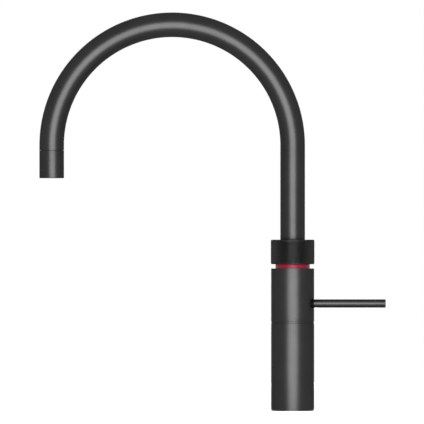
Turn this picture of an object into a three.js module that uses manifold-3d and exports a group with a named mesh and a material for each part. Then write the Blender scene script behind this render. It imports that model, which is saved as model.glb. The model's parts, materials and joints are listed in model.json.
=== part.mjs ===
// Boiling water mixer tap with a swivelling arch spout, a push-and-turn ring and a side lever.
// Millimetres, +Z up. The origin is the middle of the column's seat on the worktop. The user
// stands on the -Y side, the spout reaches out over -X and the lever points to +X.

import * as THREE from 'three';
import { mergeVertices } from 'three/addons/utils/BufferGeometryUtils.js';
import Module from 'manifold-3d';

const wasm = await Module();
wasm.setup();

// ---------------------------------------------------------------- driving dimensions

const GAP = 0.3; // clearance between two pieces that fit together
const OVERCUT = 1; // how far a cutting shape reaches past the face that it opens

// Spout
const SPOUT_RADIUS = 11.4;
const SPOUT_WALL = 1.2;
const SPOUT_BEND_RADIUS = 111;
const SPOUT_RISE = 87; // straight tube from the ring's top to the start of the bend
const SPOUT_DROP = 30.35; // from the end of the bend down to the nozzle's mouth
const SPOUT_BEND_STEPS = 24;

// Nozzle
const NOZZLE_LENGTH = 25.6;
const NOZZLE_WALL = 1.7;
const NOZZLE_SPIGOT_LENGTH = 4.2;
const NOZZLE_SPIGOT_WALL = 2;
const NOZZLE_RECESS = 1.6; // from the mouth up to the flow insert
const NOZZLE_CHAMFER = 0.5;
const FLOW_INSERT_HEIGHT = 8;
const FLOW_HOLES = 8;
const FLOW_HOLE_RADIUS = 1.1;
const FLOW_OUTLET_RADIUS = 1.6;
const FLOW_HUB_WALL = 1.3;
const FLOW_HUB_RISE = 5;
const NOZZLE_SEAL_HEIGHT = 2;
const NOZZLE_SEAL_WIDTH = 1.5;

// Swivel stem and the neck that it turns in
const NECK_WALL = 1.6;
const NECK_THREAD = 6.1; // how far the neck screws into the valve body
const STEM_BORE = 7.5;
const STEM_INSERT = 20; // how far the stem reaches up inside the spout tube
const STEM_LAND = 1.5; // metal left between two grooves
const STEM_GROOVE_DEPTH = 1.4;
const BEARING_HEIGHT = 3;
const SEAL_HEIGHT = 2.4;
const CLIP_THICKNESS = 1;
const CLIP_LAND = 1;
const CLIP_MOUTH = 0.5; // half of a snap ring's open angle, radians

// Boiling water line
const BOILING_TUBE_RADIUS = 3;
const BOILING_TUBE_WALL = 0.8;
const BOILING_SOCKET = 1.8;

// Light ring and its board
const LIGHT_WALL = 2.3;
const LIGHT_BAND = 3.9; // height of the glowing band that shows
const LIGHT_OVERLAP = 3.4; // how far it reaches up inside the knurled ring
const LIGHT_FLANGE = 2.5;
const BOARD_THICKNESS = 1.6;
const CHIP_COUNT = 6;
const CHIP_SIZE = 1.6;
const CHIP_HEIGHT = 0.8;
const CHIP_SINK = 0.2; // how far a chip is let into the board

// Push-and-turn ring
const RING_HEIGHT = 22.6;
const RING_WALL = 2.5;
const RING_CAP = 2;
const RING_CHAMFER = 0.6;
const PUSH_TRAVEL = 3;
const TURN_RANGE = Math.PI / 2;
const RETAINER_WIDTH = 1.1;
const DRIVE_WALL = 0.7;
const DRIVE_FLANGE = 2.4;
const LUG_COUNT = 4;
const LUG_WIDTH = 4;
const MAGNET_WIDTH = 2;
const MAGNET_DEPTH = 1.6;
const MAGNET_HEIGHT = 1.4;
const STOP_PIN_RADIUS = 0.8;
const SPRING_WIRE_RADIUS = 0.5;
const SPRING_TURNS = 4;

// Column
const COLUMN_WALL = 2.2;
const LIP_WIDTH = 1.5; // what the column's top lip holds of the light ring's flange
const LIP_THICKNESS = 2.2;
const COLUMN_CHAMFER = 0.4;
const SEAL_LINE = 1; // height of the rubber ring under the column
const SEAL_RECESS = 0.5;
const JOINT_HEIGHT = 81.35; // middle of the shadow joint between the two sleeves
const JOINT_GROOVE = 1.5;
const JOINT_DEPTH = 0.3;

// Valve body and its drillings
const LEVER_ABOVE_JOINT = 17.55;
const CHAMBER_WALL = 4.8; // metal between the cartridge bore and the outlet chamber
const CHANNEL_WALL = 7.6; // metal between the cartridge bore and the pipe sockets
const PIPE_SOCKET = 8;
const SKIRT_LENGTH = 8;
const DRILL_RADIUS = 1.8;
const BOILING_DRILL_RADIUS = 1.3;
const OUTLET_DRILL_RADIUS = 2.2;

// Mixing cartridge, measured along the lever's axis
const CARTRIDGE_RADIUS = 11;
const CARTRIDGE_WALL = 1.5;
const HOUSING_RIM = 1; // plastic left in front of the trunnion holes
const CARTRIDGE_BACK = -9; // floor of the cartridge bore
const CARTRIDGE_SEAL = 1.2;
const FIXED_DISC = 3;
const MOVING_DISC = 2.5;
const CARRIER_THICKNESS = 2.7;
const CARRIER_RADIUS = 5.9;
const PORT_RADIUS = 1.7;
const PORT_PITCH = 5;
const NUT_LENGTH = 3;
const SPANNER_NOTCH = 2;

// Lever
const LEVER_RADIUS = 3.8;
const LEVER_TIP = 85.7;
const LEVER_CHAMFER = 0.4;
const LEVER_SWING = Math.PI / 6;
const LEVER_PIVOT = 6.5;
const SLOT_CLEARANCE = 0.4;
const YOKE_RADIUS = 4;
const TRUNNION_RADIUS = 1.5;
const STEM_HEAD_RADIUS = 2.3;
const STEM_ROD_RADIUS = 1.7;
const STEM_TAIL_RADIUS = 1.3;
const STEM_HEAD_BACK = 3.3; // from the pivot back to the head's rear face
const STEM_HEAD_FRONT = 1.2; // from the pivot forward to the head's shoulder
const STEM_TAIL_REACH = 1.4; // how far the tail reaches into the disc carrier
const TAIL_PLAY = 0.9; // room for the tail to tilt in the disc carrier's socket
const COLLAR_LENGTH = 8.4; // from the yoke to the column's face
const COLLAR_STEP = 0.2; // how far the collar lies below the lever's surface
const LEVER_SOCKET = 7.2;
const SET_SCREW_RADIUS = 1;
const SET_SCREW_PLACE = 2.6; // from the lever's inner end

// Foot, shank and worktop clamp
const FOOT_WALL = 2;
const FOOT_HEIGHT = 10;
const SHANK_WALL = 2.8;
const SHANK_TAIL = 10; // thread that shows below the nut
const WORKTOP = 30;
const GASKET_THICKNESS = 3;
const GASKET_RADIUS = 24;
const PLATE_THICKNESS = 2.5;
const PLATE_RADIUS = 26;
const NUT_HEIGHT = 12;
const NUT_ACROSS_FLATS = 38;

// Water pipes and inlets
const PIPE_RADIUS = 4;
const PIPE_WALL = 1;
const PIPE_TAIL = 8; // pipe that shows below the shank
const GROMMET_EDGE = 0.9;
const GROMMET_HEIGHT = 5;
const CABLE_HOLE_RADIUS = 2;
const INLET_WALL = 1.2;
const INLET_LENGTH = 14;
const INLET_GRIP = 4; // pipe held inside the inlet
const INLET_THREAD_STEP = 0.6;
const INLET_COLLAR = 7;
const INLET_BORE = 2.2;

// Facets round a turned piece
const OUTER_SIDES = 40;
const INNER_SIDES = 24;
const BORE_SIDES = 16;
const SMALL_SIDES = 12;
const DRILL_SIDES = 8;
const WIRE_SIDES = 5;
const COIL_STEPS = 14; // along each turn of a coil

// ---------------------------------------------------------------- radii, from the spout outwards

const spoutInner = SPOUT_RADIUS - SPOUT_WALL;
const neckInner = SPOUT_RADIUS + GAP;
const neckOuter = neckInner + NECK_WALL;
const driveInner = neckOuter + GAP;
const driveOuter = driveInner + DRIVE_WALL;
const lightInner = driveInner;
const lightOuter = lightInner + LIGHT_WALL;
const ringBore = lightOuter + GAP;
const springMean = (driveOuter + ringBore) / 2;
const retainerOuter = ringBore + RETAINER_WIDTH;
const ringRecess = retainerOuter + GAP;
const ringRadius = ringRecess + RING_WALL;
const columnInner = ringBore + LIP_WIDTH;
const columnRadius = columnInner + COLUMN_WALL;
const bodyRadius = columnInner - GAP;
const shankRadius = bodyRadius - FOOT_WALL - GAP;
const shankBore = shankRadius - SHANK_WALL;
const grommetRadius = shankBore - GAP;
const pipePitch = grommetRadius - GROMMET_EDGE - GAP - PIPE_RADIUS;
const stemGroove = SPOUT_RADIUS - STEM_GROOVE_DEPTH;
const cartridgeBore = CARTRIDGE_RADIUS + GAP;
const cartridgeInner = CARTRIDGE_RADIUS - CARTRIDGE_WALL;
const collarRadius = LEVER_RADIUS - COLLAR_STEP;

// ---------------------------------------------------------------- heights, from the seat upwards

const lowerSleeveBottom = SEAL_LINE + GAP;
const lowerSleeveTop = JOINT_HEIGHT - JOINT_GROOVE / 2;
const upperSleeveBottom = JOINT_HEIGHT + JOINT_GROOVE / 2;
const leverHeight = JOINT_HEIGHT + LEVER_ABOVE_JOINT;
const socketTop = leverHeight - cartridgeBore - CHANNEL_WALL;
const socketBottom = socketTop - PIPE_SOCKET;
const skirtBottom = socketBottom - SKIRT_LENGTH;
const chamberFloor = leverHeight + cartridgeBore + CHAMBER_WALL;
const stemBottom = chamberFloor + 2 * GAP;
const spoutClipBottom = stemBottom + CLIP_LAND;
const neckBottom = spoutClipBottom + CLIP_THICKNESS + GAP;
const bodyTop = neckBottom + NECK_THREAD;
const boardBottom = bodyTop + GAP;
const lightBottom = boardBottom + BOARD_THICKNESS + GAP;
const lipBottom = lightBottom + LIGHT_FLANGE + GAP;
const columnTop = lipBottom + LIP_THICKNESS;
const ringBottom = columnTop + LIGHT_BAND;
const ringTop = ringBottom + RING_HEIGHT;
const lightTop = ringBottom + LIGHT_OVERLAP;
const driveBottom = lightTop + GAP;
const driveFlangeTop = driveBottom + DRIVE_FLANGE;
const neckTop = ringTop - RING_CAP - PUSH_TRAVEL - GAP;
const driveClipBottom = neckTop - CLIP_LAND - CLIP_THICKNESS;
const driveTop = driveClipBottom - GAP;
const stopPinHeight = (driveFlangeTop + driveTop) / 2;
const bendHeight = ringTop + SPOUT_RISE;
const nozzleMouth = bendHeight - SPOUT_DROP;
const nozzleShoulder = nozzleMouth + NOZZLE_LENGTH;
const nozzleStep = NOZZLE_RECESS + FLOW_INSERT_HEIGHT + NOZZLE_SEAL_HEIGHT + 2 * GAP;

// The rings in the stem's grooves, listed from the neck's lower end upwards.
const stemRings = [
  { name: 'spout_bearing_lower', height: BEARING_HEIGHT, rubber: false },
  { name: 'spout_seal_lower', height: SEAL_HEIGHT, rubber: true },
  { name: 'spout_seal_upper', height: SEAL_HEIGHT, rubber: true },
  { name: 'spout_bearing_upper', height: BEARING_HEIGHT, rubber: false },
];
let stemLevel = neckBottom;
for (const ring of stemRings) {
  ring.bottom = stemLevel + STEM_LAND;
  stemLevel = ring.bottom + ring.height;
}
const stemShoulder = stemLevel + STEM_LAND;

// Below the worktop.
const plateTop = -WORKTOP - GASKET_THICKNESS - GAP;
const nutTop = plateTop - PLATE_THICKNESS - GAP;
const shankBottom = nutTop - NUT_HEIGHT - SHANK_TAIL;
const shankTop = socketBottom - GAP;
const pipeBottom = shankBottom - PIPE_TAIL;
const pipeTop = socketTop - GAP;

// The three supply pipes stand evenly round the shank's axis.
const supplies = [
  { name: 'cold', angle: -Math.PI / 3, radius: PIPE_RADIUS },
  { name: 'hot', angle: Math.PI / 3, radius: PIPE_RADIUS },
  { name: 'boiling', angle: Math.PI, radius: BOILING_TUBE_RADIUS },
];
for (const supply of supplies) {
  supply.x = pipePitch * Math.cos(supply.angle);
  supply.y = pipePitch * Math.sin(supply.angle);
}
const [coldSupply, hotSupply, boilingSupply] = supplies;

// Along the lever's axis, from the cartridge bore's floor outwards.
const cartridgeSealBack = CARTRIDGE_BACK + GAP;
const fixedDiscBack = cartridgeSealBack + CARTRIDGE_SEAL + GAP;
const movingDiscBack = fixedDiscBack + FIXED_DISC + GAP;
const carrierBack = movingDiscBack + MOVING_DISC + GAP;
const carrierFront = carrierBack + CARRIER_THICKNESS;
const housingFront = LEVER_PIVOT + TRUNNION_RADIUS + GAP + HOUSING_RIM;
const cartridgeNutBack = housingFront + GAP;
const cartridgeNutFront = cartridgeNutBack + NUT_LENGTH;
const collarBack = LEVER_PIVOT + YOKE_RADIUS + GAP;
const leverBack = collarBack + COLLAR_LENGTH + GAP;

// The cartridge nut's bore leaves room for the collar at the end of the lever's swing.
const nutBore = GAP + collarRadius / Math.cos(LEVER_SWING)
  + (cartridgeNutFront - LEVER_PIVOT) * Math.tan(LEVER_SWING);

// ---------------------------------------------------------------- finishes

const finish = (color, roughness, metalness) =>
  new THREE.MeshStandardMaterial({ color, roughness, metalness });
const satinBlack = () => finish(0x2b2c2d, 0.42, 0.55);
const knurledBlack = () => finish(0x27282a, 0.5, 0.55);
const redLight = () => finish(0xb3122f, 0.3, 0);
const brass = () => finish(0xb5924c, 0.35, 1);
const steel = () => finish(0xb9bcc0, 0.3, 1);
const copper = () => finish(0xb06a45, 0.35, 1);
const ceramic = () => finish(0xe9e6df, 0.35, 0);
const plastic = () => finish(0x2f3338, 0.55, 0);
const palePlastic = () => finish(0xd9d6cc, 0.5, 0);
const rubber = () => finish(0x17181a, 0.8, 0);
const boardGreen = () => finish(0x1e5b3a, 0.5, 0);

// ---------------------------------------------------------------- shape helpers

/** Turns an outline of [radius, height] points, listed anticlockwise, about Z. */
function turned(outline, sides) {
  const points = outline.map(([radius, height]) => new THREE.Vector2(radius, height));
  if (outline[0][0] > 0) points.push(points[0].clone());
  return new THREE.LatheGeometry(points, sides).rotateX(Math.PI / 2);
}

/** A plain round tube that stands on z = 0. */
function tube(inner, outer, height, sides) {
  return turned([[inner, 0], [outer, 0], [outer, height], [inner, height]], sides);
}

/** A plain round rod that stands on z = 0. */
function rod(radius, height, sides) {
  return turned([[0, 0], [radius, 0], [radius, height], [0, height]], sides);
}

/** A round drilling from one point to another. */
function drilling(from, to, radius, sides = DRILL_SIDES) {
  const run = new THREE.Vector3().subVectors(to, from);
  const turn = new THREE.Quaternion().setFromUnitVectors(
    new THREE.Vector3(0, 0, 1),
    run.clone().normalize(),
  );
  return rod(radius, run.length(), sides).applyQuaternion(turn).translate(from.x, from.y, from.z);
}

/** A block of width along X, depth along Y and height along Z, centred in X and Y on z = 0. */
function block(width, depth, height) {
  return new THREE.BoxGeometry(width, depth, height).translate(0, 0, height / 2);
}

/** A flat piece of a ring between two angles, standing on z = 0. */
function sector(inner, outer, start, end, height) {
  const shape = new THREE.Shape();
  shape.absarc(0, 0, outer, start, end, false);
  shape.absarc(0, 0, inner, end, start, true);
  return new THREE.ExtrudeGeometry(shape, { depth: height, bevelEnabled: false, curveSegments: 12 });
}

/** An open snap ring. */
function snapRing(inner, outer) {
  return sector(inner, outer, CLIP_MOUTH, 2 * Math.PI - CLIP_MOUTH, CLIP_THICKNESS);
}

/** Copies of one geometry, evenly spaced round Z from a first angle. */
function around(geometry, count, first = 0) {
  return Array.from({ length: count }, (_, index) =>
    geometry.clone().rotateZ(first + (index * 2 * Math.PI) / count));
}

/** A closed geometry as a solid, with its shared corners merged and its flat slivers dropped. */
function asSolid(geometry) {
  const bare = geometry.clone();
  bare.deleteAttribute('normal');
  bare.deleteAttribute('uv');
  const merged = mergeVertices(bare, 1e-4);
  const corners = [];
  for (let i = 0; i < merged.index.count; i += 3) {
    const [a, b, c] = [0, 1, 2].map((step) => merged.index.getX(i + step));
    if (a !== b && b !== c && c !== a) corners.push(a, b, c);
  }
  return new wasm.Manifold(new wasm.Mesh({
    numProp: 3,
    vertProperties: new Float32Array(merged.attributes.position.array),
    triVerts: new Uint32Array(corners),
  }));
}

function asGeometry(solid) {
  const mesh = solid.getMesh();
  const geometry = new THREE.BufferGeometry();
  geometry.setAttribute('position', new THREE.BufferAttribute(mesh.vertProperties, 3));
  geometry.setIndex(new THREE.BufferAttribute(mesh.triVerts, 1));
  geometry.computeVertexNormals();
  return geometry;
}

function join(first, ...others) {
  return asGeometry(others.reduce((sum, other) => sum.add(asSolid(other)), asSolid(first)));
}

function cut(body, ...tools) {
  return asGeometry(tools.reduce((rest, tool) => rest.subtract(asSolid(tool)), asSolid(body)));
}

/** A named mesh whose own origin is put at the given place. */
function piece(name, geometry, material, x = 0, y = 0, z = 0) {
  const mesh = new THREE.Mesh(geometry, material);
  mesh.name = name;
  mesh.position.set(x, y, z);
  return mesh;
}

/** The spout's centreline: a straight leg up, a half-circle over -X and a short leg down. */
class ArchPath extends THREE.Curve {
  constructor(start, end) {
    super();
    this.start = start;
    this.end = end;
    this.steps = SPOUT_BEND_STEPS + 2;
  }

  // One step is spent on each straight leg and the rest are spread over the bend.
  getUtoTmapping(u) {
    return u;
  }

  bendAngle(t) {
    return THREE.MathUtils.clamp((t * this.steps - 1) / SPOUT_BEND_STEPS, 0, 1) * Math.PI;
  }

  getPoint(t, target = new THREE.Vector3()) {
    const angle = this.bendAngle(t);
    const x = SPOUT_BEND_RADIUS * (Math.cos(angle) - 1);
    let z = bendHeight + SPOUT_BEND_RADIUS * Math.sin(angle);
    if (angle === 0) z = this.start + (bendHeight - this.start) * t * this.steps;
    if (angle === Math.PI) z = this.end + (bendHeight - this.end) * (1 - t) * this.steps;
    return target.set(x, 0, z);
  }

  getTangent(t, target = new THREE.Vector3()) {
    const angle = this.bendAngle(t);
    return target.set(-Math.sin(angle), 0, Math.cos(angle));
  }
}

/** The corners of a regular polygon. */
function circle(radius, sides) {
  return Array.from({ length: sides }, (_, index) => {
    const angle = (index * 2 * Math.PI) / sides;
    return new THREE.Vector2(radius * Math.cos(angle), radius * Math.sin(angle));
  });
}

/** A round tube along the spout's centreline. */
function archedTube(inner, outer, start, end, outerSides, innerSides) {
  const section = new THREE.Shape(circle(outer, outerSides));
  section.holes.push(new THREE.Path(circle(inner, innerSides)));
  const path = new ArchPath(start, end);
  return new THREE.ExtrudeGeometry(section, {
    steps: path.steps,
    extrudePath: path,
    bevelEnabled: false,
  });
}

/** The centreline of a coil that climbs at a steady rate. */
class CoilPath extends THREE.Curve {
  constructor(radius, turns, height) {
    super();
    this.radius = radius;
    this.turns = turns;
    this.height = height;
  }

  getPoint(t, target = new THREE.Vector3()) {
    const angle = 2 * Math.PI * this.turns * t;
    return target.set(
      this.radius * Math.cos(angle),
      this.radius * Math.sin(angle),
      this.height * t,
    );
  }
}

// ---------------------------------------------------------------- foot, shank and worktop clamp

const baseSeal = () => piece('base_seal',
  tube(columnInner, columnRadius - SEAL_RECESS, SEAL_LINE, OUTER_SIDES), rubber());

const baseFoot = () => piece('base_foot',
  tube(shankRadius + GAP, bodyRadius, FOOT_HEIGHT, INNER_SIDES), brass(), 0, 0, GAP);

const mountingShank = () => piece('mounting_shank',
  tube(shankBore, shankRadius, shankTop - shankBottom, INNER_SIDES), brass(), 0, 0, shankBottom);

const worktopGasket = () => piece('worktop_gasket',
  tube(shankRadius + GAP, GASKET_RADIUS, GASKET_THICKNESS, INNER_SIDES), rubber(),
  0, 0, -WORKTOP - GASKET_THICKNESS);

const clampPlate = () => piece('clamp_plate',
  tube(shankRadius + GAP, PLATE_RADIUS, PLATE_THICKNESS, INNER_SIDES), steel(),
  0, 0, plateTop - PLATE_THICKNESS);

function clampNut() {
  const cornerRadius = NUT_ACROSS_FLATS / 2 / Math.cos(Math.PI / 6);
  const bore = rod(shankRadius + GAP, NUT_HEIGHT + 2 * OVERCUT, INNER_SIDES)
    .translate(0, 0, -OVERCUT);
  return piece('clamp_nut', cut(rod(cornerRadius, NUT_HEIGHT, 6), bore), brass(),
    0, 0, nutTop - NUT_HEIGHT);
}

// ---------------------------------------------------------------- water pipes and inlets

const supplyPipe = ({ name, x, y, radius }) => piece(`${name}_pipe`,
  tube(radius - PIPE_WALL, radius, pipeTop - pipeBottom, SMALL_SIDES), copper(),
  x, y, pipeBottom);

function supplyInlet({ name, x, y, radius }) {
  const socket = radius + GAP;
  const collar = socket + INLET_WALL;
  const neck = collar - INLET_THREAD_STEP;
  const top = INLET_LENGTH;
  const step = top - INLET_GRIP - GAP;
  const outline = [
    [INLET_BORE, 0], [neck, 0], [neck, top - INLET_COLLAR], [collar, top - INLET_COLLAR],
    [collar, top], [socket, top], [socket, step], [INLET_BORE, step],
  ];
  return piece(`${name}_inlet`, turned(outline, SMALL_SIDES), brass(),
    x, y, pipeBottom + INLET_GRIP - INLET_LENGTH);
}

function cableGrommet() {
  const through = (radius) => rod(radius, GROMMET_HEIGHT + 2 * OVERCUT, SMALL_SIDES)
    .translate(0, 0, -OVERCUT);
  const pipeHoles = supplies.map(({ x, y, radius }) => through(radius + GAP).translate(x, y, 0));
  const cableHole = through(CABLE_HOLE_RADIUS).translate(
    -pipePitch * Math.cos(Math.PI / 3), pipePitch * Math.sin(Math.PI / 3) + GAP, 0);
  return piece('cable_grommet',
    cut(rod(grommetRadius, GROMMET_HEIGHT, INNER_SIDES), ...pipeHoles, cableHole), rubber(),
    0, 0, shankBottom + GAP);
}

// ---------------------------------------------------------------- column

function lowerSleeve() {
  const height = lowerSleeveTop - lowerSleeveBottom;
  const outline = [
    [columnInner, 0], [columnRadius, 0], [columnRadius, height], [columnInner, height],
  ];
  return piece('lower_sleeve', turned(outline, OUTER_SIDES), satinBlack(),
    0, 0, lowerSleeveBottom);
}

const sleeveJointRing = () => piece('sleeve_joint_ring',
  tube(columnInner, columnRadius - JOINT_DEPTH, JOINT_GROOVE - 2 * GAP, OUTER_SIDES),
  satinBlack(), 0, 0, lowerSleeveTop + GAP);

/** How far the swung lever's front edge comes out from the middle of the column's face. */
function leverSweep() {
  const [sine, cosine] = [Math.sin(LEVER_SWING), Math.cos(LEVER_SWING)];
  const edge = new THREE.Vector2(LEVER_PIVOT - LEVER_RADIUS * sine, -LEVER_RADIUS * cosine);
  const along = edge.x * cosine - edge.y * sine;
  const run = Math.sqrt(columnRadius ** 2 - edge.lengthSq() + along ** 2) - along;
  return run * sine - edge.y;
}

/** The lever's slot, with round ends, cut through the column's +X side. */
function leverSlot() {
  const half = LEVER_RADIUS + SLOT_CLEARANCE;
  const front = half - leverSweep() - SLOT_CLEARANCE;
  const shape = new THREE.Shape();
  shape.absarc(0, 0, half, -Math.PI / 2, Math.PI / 2, false);
  shape.absarc(front, 0, half, Math.PI / 2, 3 * Math.PI / 2, false);
  return new THREE.ExtrudeGeometry(shape, {
    depth: columnRadius + OVERCUT, bevelEnabled: false, curveSegments: 8,
  }).rotateX(Math.PI / 2).rotateZ(Math.PI / 2).translate(0, 0, leverHeight);
}

function upperSleeve() {
  const outline = [
    [columnInner, upperSleeveBottom], [columnRadius, upperSleeveBottom],
    [columnRadius, columnTop - COLUMN_CHAMFER], [columnRadius - COLUMN_CHAMFER, columnTop],
    [ringBore, columnTop], [ringBore, lipBottom], [columnInner, lipBottom],
  ];
  const sleeve = cut(turned(outline, OUTER_SIDES), leverSlot());
  return piece('upper_sleeve', sleeve.translate(0, 0, -upperSleeveBottom), satinBlack(),
    0, 0, upperSleeveBottom);
}

// ---------------------------------------------------------------- valve body and neck

const point = (x, y, z) => new THREE.Vector3(x, y, z);

/** The drillings that carry cold and hot water to the cartridge and mixed water from it. */
function cartridgeDrillings() {
  const crossHeight = socketTop + CHANNEL_WALL / 2;
  const portX = cartridgeSealBack + CARTRIDGE_SEAL / 2;
  const inlets = [coldSupply, hotSupply].flatMap(({ x, y }) => [
    drilling(point(x, y, socketTop - OVERCUT), point(x, y, crossHeight), DRILL_RADIUS),
    drilling(point(x + DRILL_RADIUS, y, crossHeight),
      point(portX - DRILL_RADIUS, y, crossHeight), DRILL_RADIUS),
    drilling(point(portX, y, crossHeight), point(portX, y, leverHeight), DRILL_RADIUS),
  ]);
  const outletX = (fixedDiscBack + movingDiscBack) / 2;
  const outlet = drilling(
    point(outletX, hotSupply.y, leverHeight),
    point(outletX, hotSupply.y, chamberFloor + OVERCUT), OUTLET_DRILL_RADIUS);
  return [...inlets, outlet];
}

/** The drillings that carry boiling water round the back of the cartridge to the axis. */
function boilingDrillings() {
  const crossHeight = socketTop + CHANNEL_WALL / 2;
  const riserX = (CARTRIDGE_BACK - bodyRadius) / 2;
  const topHeight = chamberFloor - CHAMBER_WALL / 2;
  const { x, y } = boilingSupply;
  const route = [
    point(x, y, socketTop - OVERCUT), point(x, y, crossHeight),
    point(riserX, y, crossHeight), point(riserX, y, topHeight),
    point(0, 0, topHeight), point(0, 0, chamberFloor),
  ];
  return route.slice(1).map((end, index) => {
    const start = route[index];
    const extra = end.clone().sub(start).setLength(BOILING_DRILL_RADIUS);
    return drilling(start, end.clone().add(extra), BOILING_DRILL_RADIUS);
  });
}

function valveBody() {
  const outline = [
    [0, socketBottom], [shankRadius + GAP, socketBottom], [shankRadius + GAP, skirtBottom],
    [bodyRadius, skirtBottom], [bodyRadius, bodyTop], [neckOuter + GAP, bodyTop],
    [neckOuter + GAP, chamberFloor], [0, chamberFloor],
  ];
  const bore = drilling(
    point(CARTRIDGE_BACK, 0, leverHeight), point(columnRadius, 0, leverHeight),
    cartridgeBore, INNER_SIDES);
  const sockets = supplies.map(({ x, y, radius }) => drilling(
    point(x, y, socketBottom - OVERCUT), point(x, y, socketTop), radius + GAP, SMALL_SIDES));
  const tubeSocket = drilling(
    point(0, 0, chamberFloor - BOILING_SOCKET), point(0, 0, chamberFloor + OVERCUT),
    BOILING_TUBE_RADIUS + GAP, SMALL_SIDES);
  const body = cut(turned(outline, INNER_SIDES), bore, ...sockets, tubeSocket,
    ...cartridgeDrillings(), ...boilingDrillings());
  return piece('valve_body', body.translate(0, 0, -skirtBottom), brass(), 0, 0, skirtBottom);
}

function neck() {
  const clipLevel = driveClipBottom - GAP;
  const clipRoof = driveClipBottom + CLIP_THICKNESS + GAP;
  const clipGroove = neckOuter - NECK_WALL / 2;
  const outline = [
    [neckInner, neckBottom], [neckOuter, neckBottom], [neckOuter, clipLevel],
    [clipGroove, clipLevel], [clipGroove, clipRoof], [neckOuter, clipRoof],
    [neckOuter, neckTop], [neckInner, neckTop],
  ];
  const pinHole = drilling(point(0, 0, stopPinHeight), point(bodyRadius, 0, stopPinHeight),
    STOP_PIN_RADIUS + GAP);
  const shape = cut(turned(outline, INNER_SIDES), pinHole);
  return piece('neck', shape.translate(0, 0, -neckBottom), steel(), 0, 0, neckBottom);
}

const turnStopPin = () => piece('turn_stop_pin',
  rod(STOP_PIN_RADIUS, driveOuter - neckInner - 2 * GAP, SMALL_SIDES).rotateY(Math.PI / 2),
  steel(), neckInner + GAP, 0, stopPinHeight);

const driveClip = () => piece('drive_clip',
  snapRing(neckOuter - NECK_WALL / 2 + GAP, driveOuter), steel(), 0, 0, driveClipBottom);

// ---------------------------------------------------------------- light ring and its board

const chipPitch = (lightInner + bodyRadius) / 2;

function ledBoard() {
  const board = tube(lightInner, bodyRadius, BOARD_THICKNESS, INNER_SIDES);
  const chip = block(CHIP_SIZE, CHIP_SIZE, CHIP_HEIGHT + CHIP_SINK)
    .translate(chipPitch, 0, BOARD_THICKNESS - CHIP_SINK);
  return piece('led_board', join(board, ...around(chip, CHIP_COUNT)), boardGreen(),
    0, 0, boardBottom);
}

function lightRing() {
  const height = lightTop - lightBottom;
  const outline = [
    [lightInner, 0], [bodyRadius, 0], [bodyRadius, LIGHT_FLANGE], [lightOuter, LIGHT_FLANGE],
    [lightOuter, height], [lightInner, height],
  ];
  const pocketSize = CHIP_SIZE + 2 * GAP;
  const pocket = block(pocketSize, pocketSize, OVERCUT + CHIP_HEIGHT)
    .translate(chipPitch, 0, -OVERCUT);
  return piece('light_ring', cut(turned(outline, OUTER_SIDES), ...around(pocket, CHIP_COUNT)),
    redLight(), 0, 0, lightBottom);
}

// ---------------------------------------------------------------- push-and-turn ring

const magnetPitch = (driveInner + retainerOuter) / 2;

function driveSleeve() {
  const height = driveTop - driveBottom;
  const outline = [
    [driveInner, 0], [lightOuter, 0], [lightOuter, DRIVE_FLANGE], [driveOuter, DRIVE_FLANGE],
    [driveOuter, height], [driveInner, height],
  ];
  const lugLength = retainerOuter - driveOuter;
  const lug = block(lugLength, LUG_WIDTH, DRIVE_FLANGE)
    .translate(retainerOuter - lugLength / 2, 0, 0);
  const pocketHeight = MAGNET_HEIGHT + GAP + OVERCUT;
  const pocket = block(MAGNET_DEPTH + 2 * GAP, MAGNET_WIDTH + 2 * GAP, pocketHeight)
    .translate(magnetPitch, 0, -OVERCUT);
  const play = (STOP_PIN_RADIUS + GAP) / driveInner;
  const slotHeight = 2 * (STOP_PIN_RADIUS + GAP);
  const stopSlot = sector(
    neckOuter, driveOuter + OVERCUT, -TURN_RANGE - play, play, slotHeight,
  ).translate(0, 0, stopPinHeight - slotHeight / 2 - driveBottom);
  const sleeve = join(turned(outline, INNER_SIDES), ...around(lug, LUG_COUNT));
  return piece('drive_sleeve', cut(sleeve, stopSlot, ...around(pocket, 2)), plastic(),
    0, 0, driveBottom);
}

const ringMagnet = (name, side) => piece(name,
  block(MAGNET_DEPTH, MAGNET_WIDTH, MAGNET_HEIGHT), steel(),
  side * magnetPitch, 0, driveBottom);

function knurledRing() {
  const recessTop = driveBottom - GAP - ringBottom;
  const capBottom = RING_HEIGHT - RING_CAP;
  const outline = [
    [ringRecess, 0], [ringRadius - RING_CHAMFER, 0], [ringRadius, RING_CHAMFER],
    [ringRadius, RING_HEIGHT - RING_CHAMFER], [ringRadius - RING_CHAMFER, RING_HEIGHT],
    [neckInner, RING_HEIGHT], [neckInner, capBottom], [ringBore, capBottom],
    [ringBore, recessTop], [ringRecess, recessTop],
  ];
  const slotTop = driveFlangeTop + PUSH_TRAVEL + GAP - ringBottom;
  const slotInner = ringBore - RETAINER_WIDTH;
  const slot = block(ringRecess - slotInner, LUG_WIDTH + 2 * GAP, slotTop)
    .translate((ringRecess + slotInner) / 2, 0, 0);
  return piece('knurled_ring', cut(turned(outline, OUTER_SIDES), ...around(slot, LUG_COUNT)),
    knurledBlack(), 0, 0, ringBottom);
}

const ringRetainer = () => piece('ring_retainer',
  tube(ringBore, retainerOuter, driveBottom - ringBottom - 2 * GAP, INNER_SIDES), plastic(),
  0, 0, ringBottom + GAP);

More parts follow.
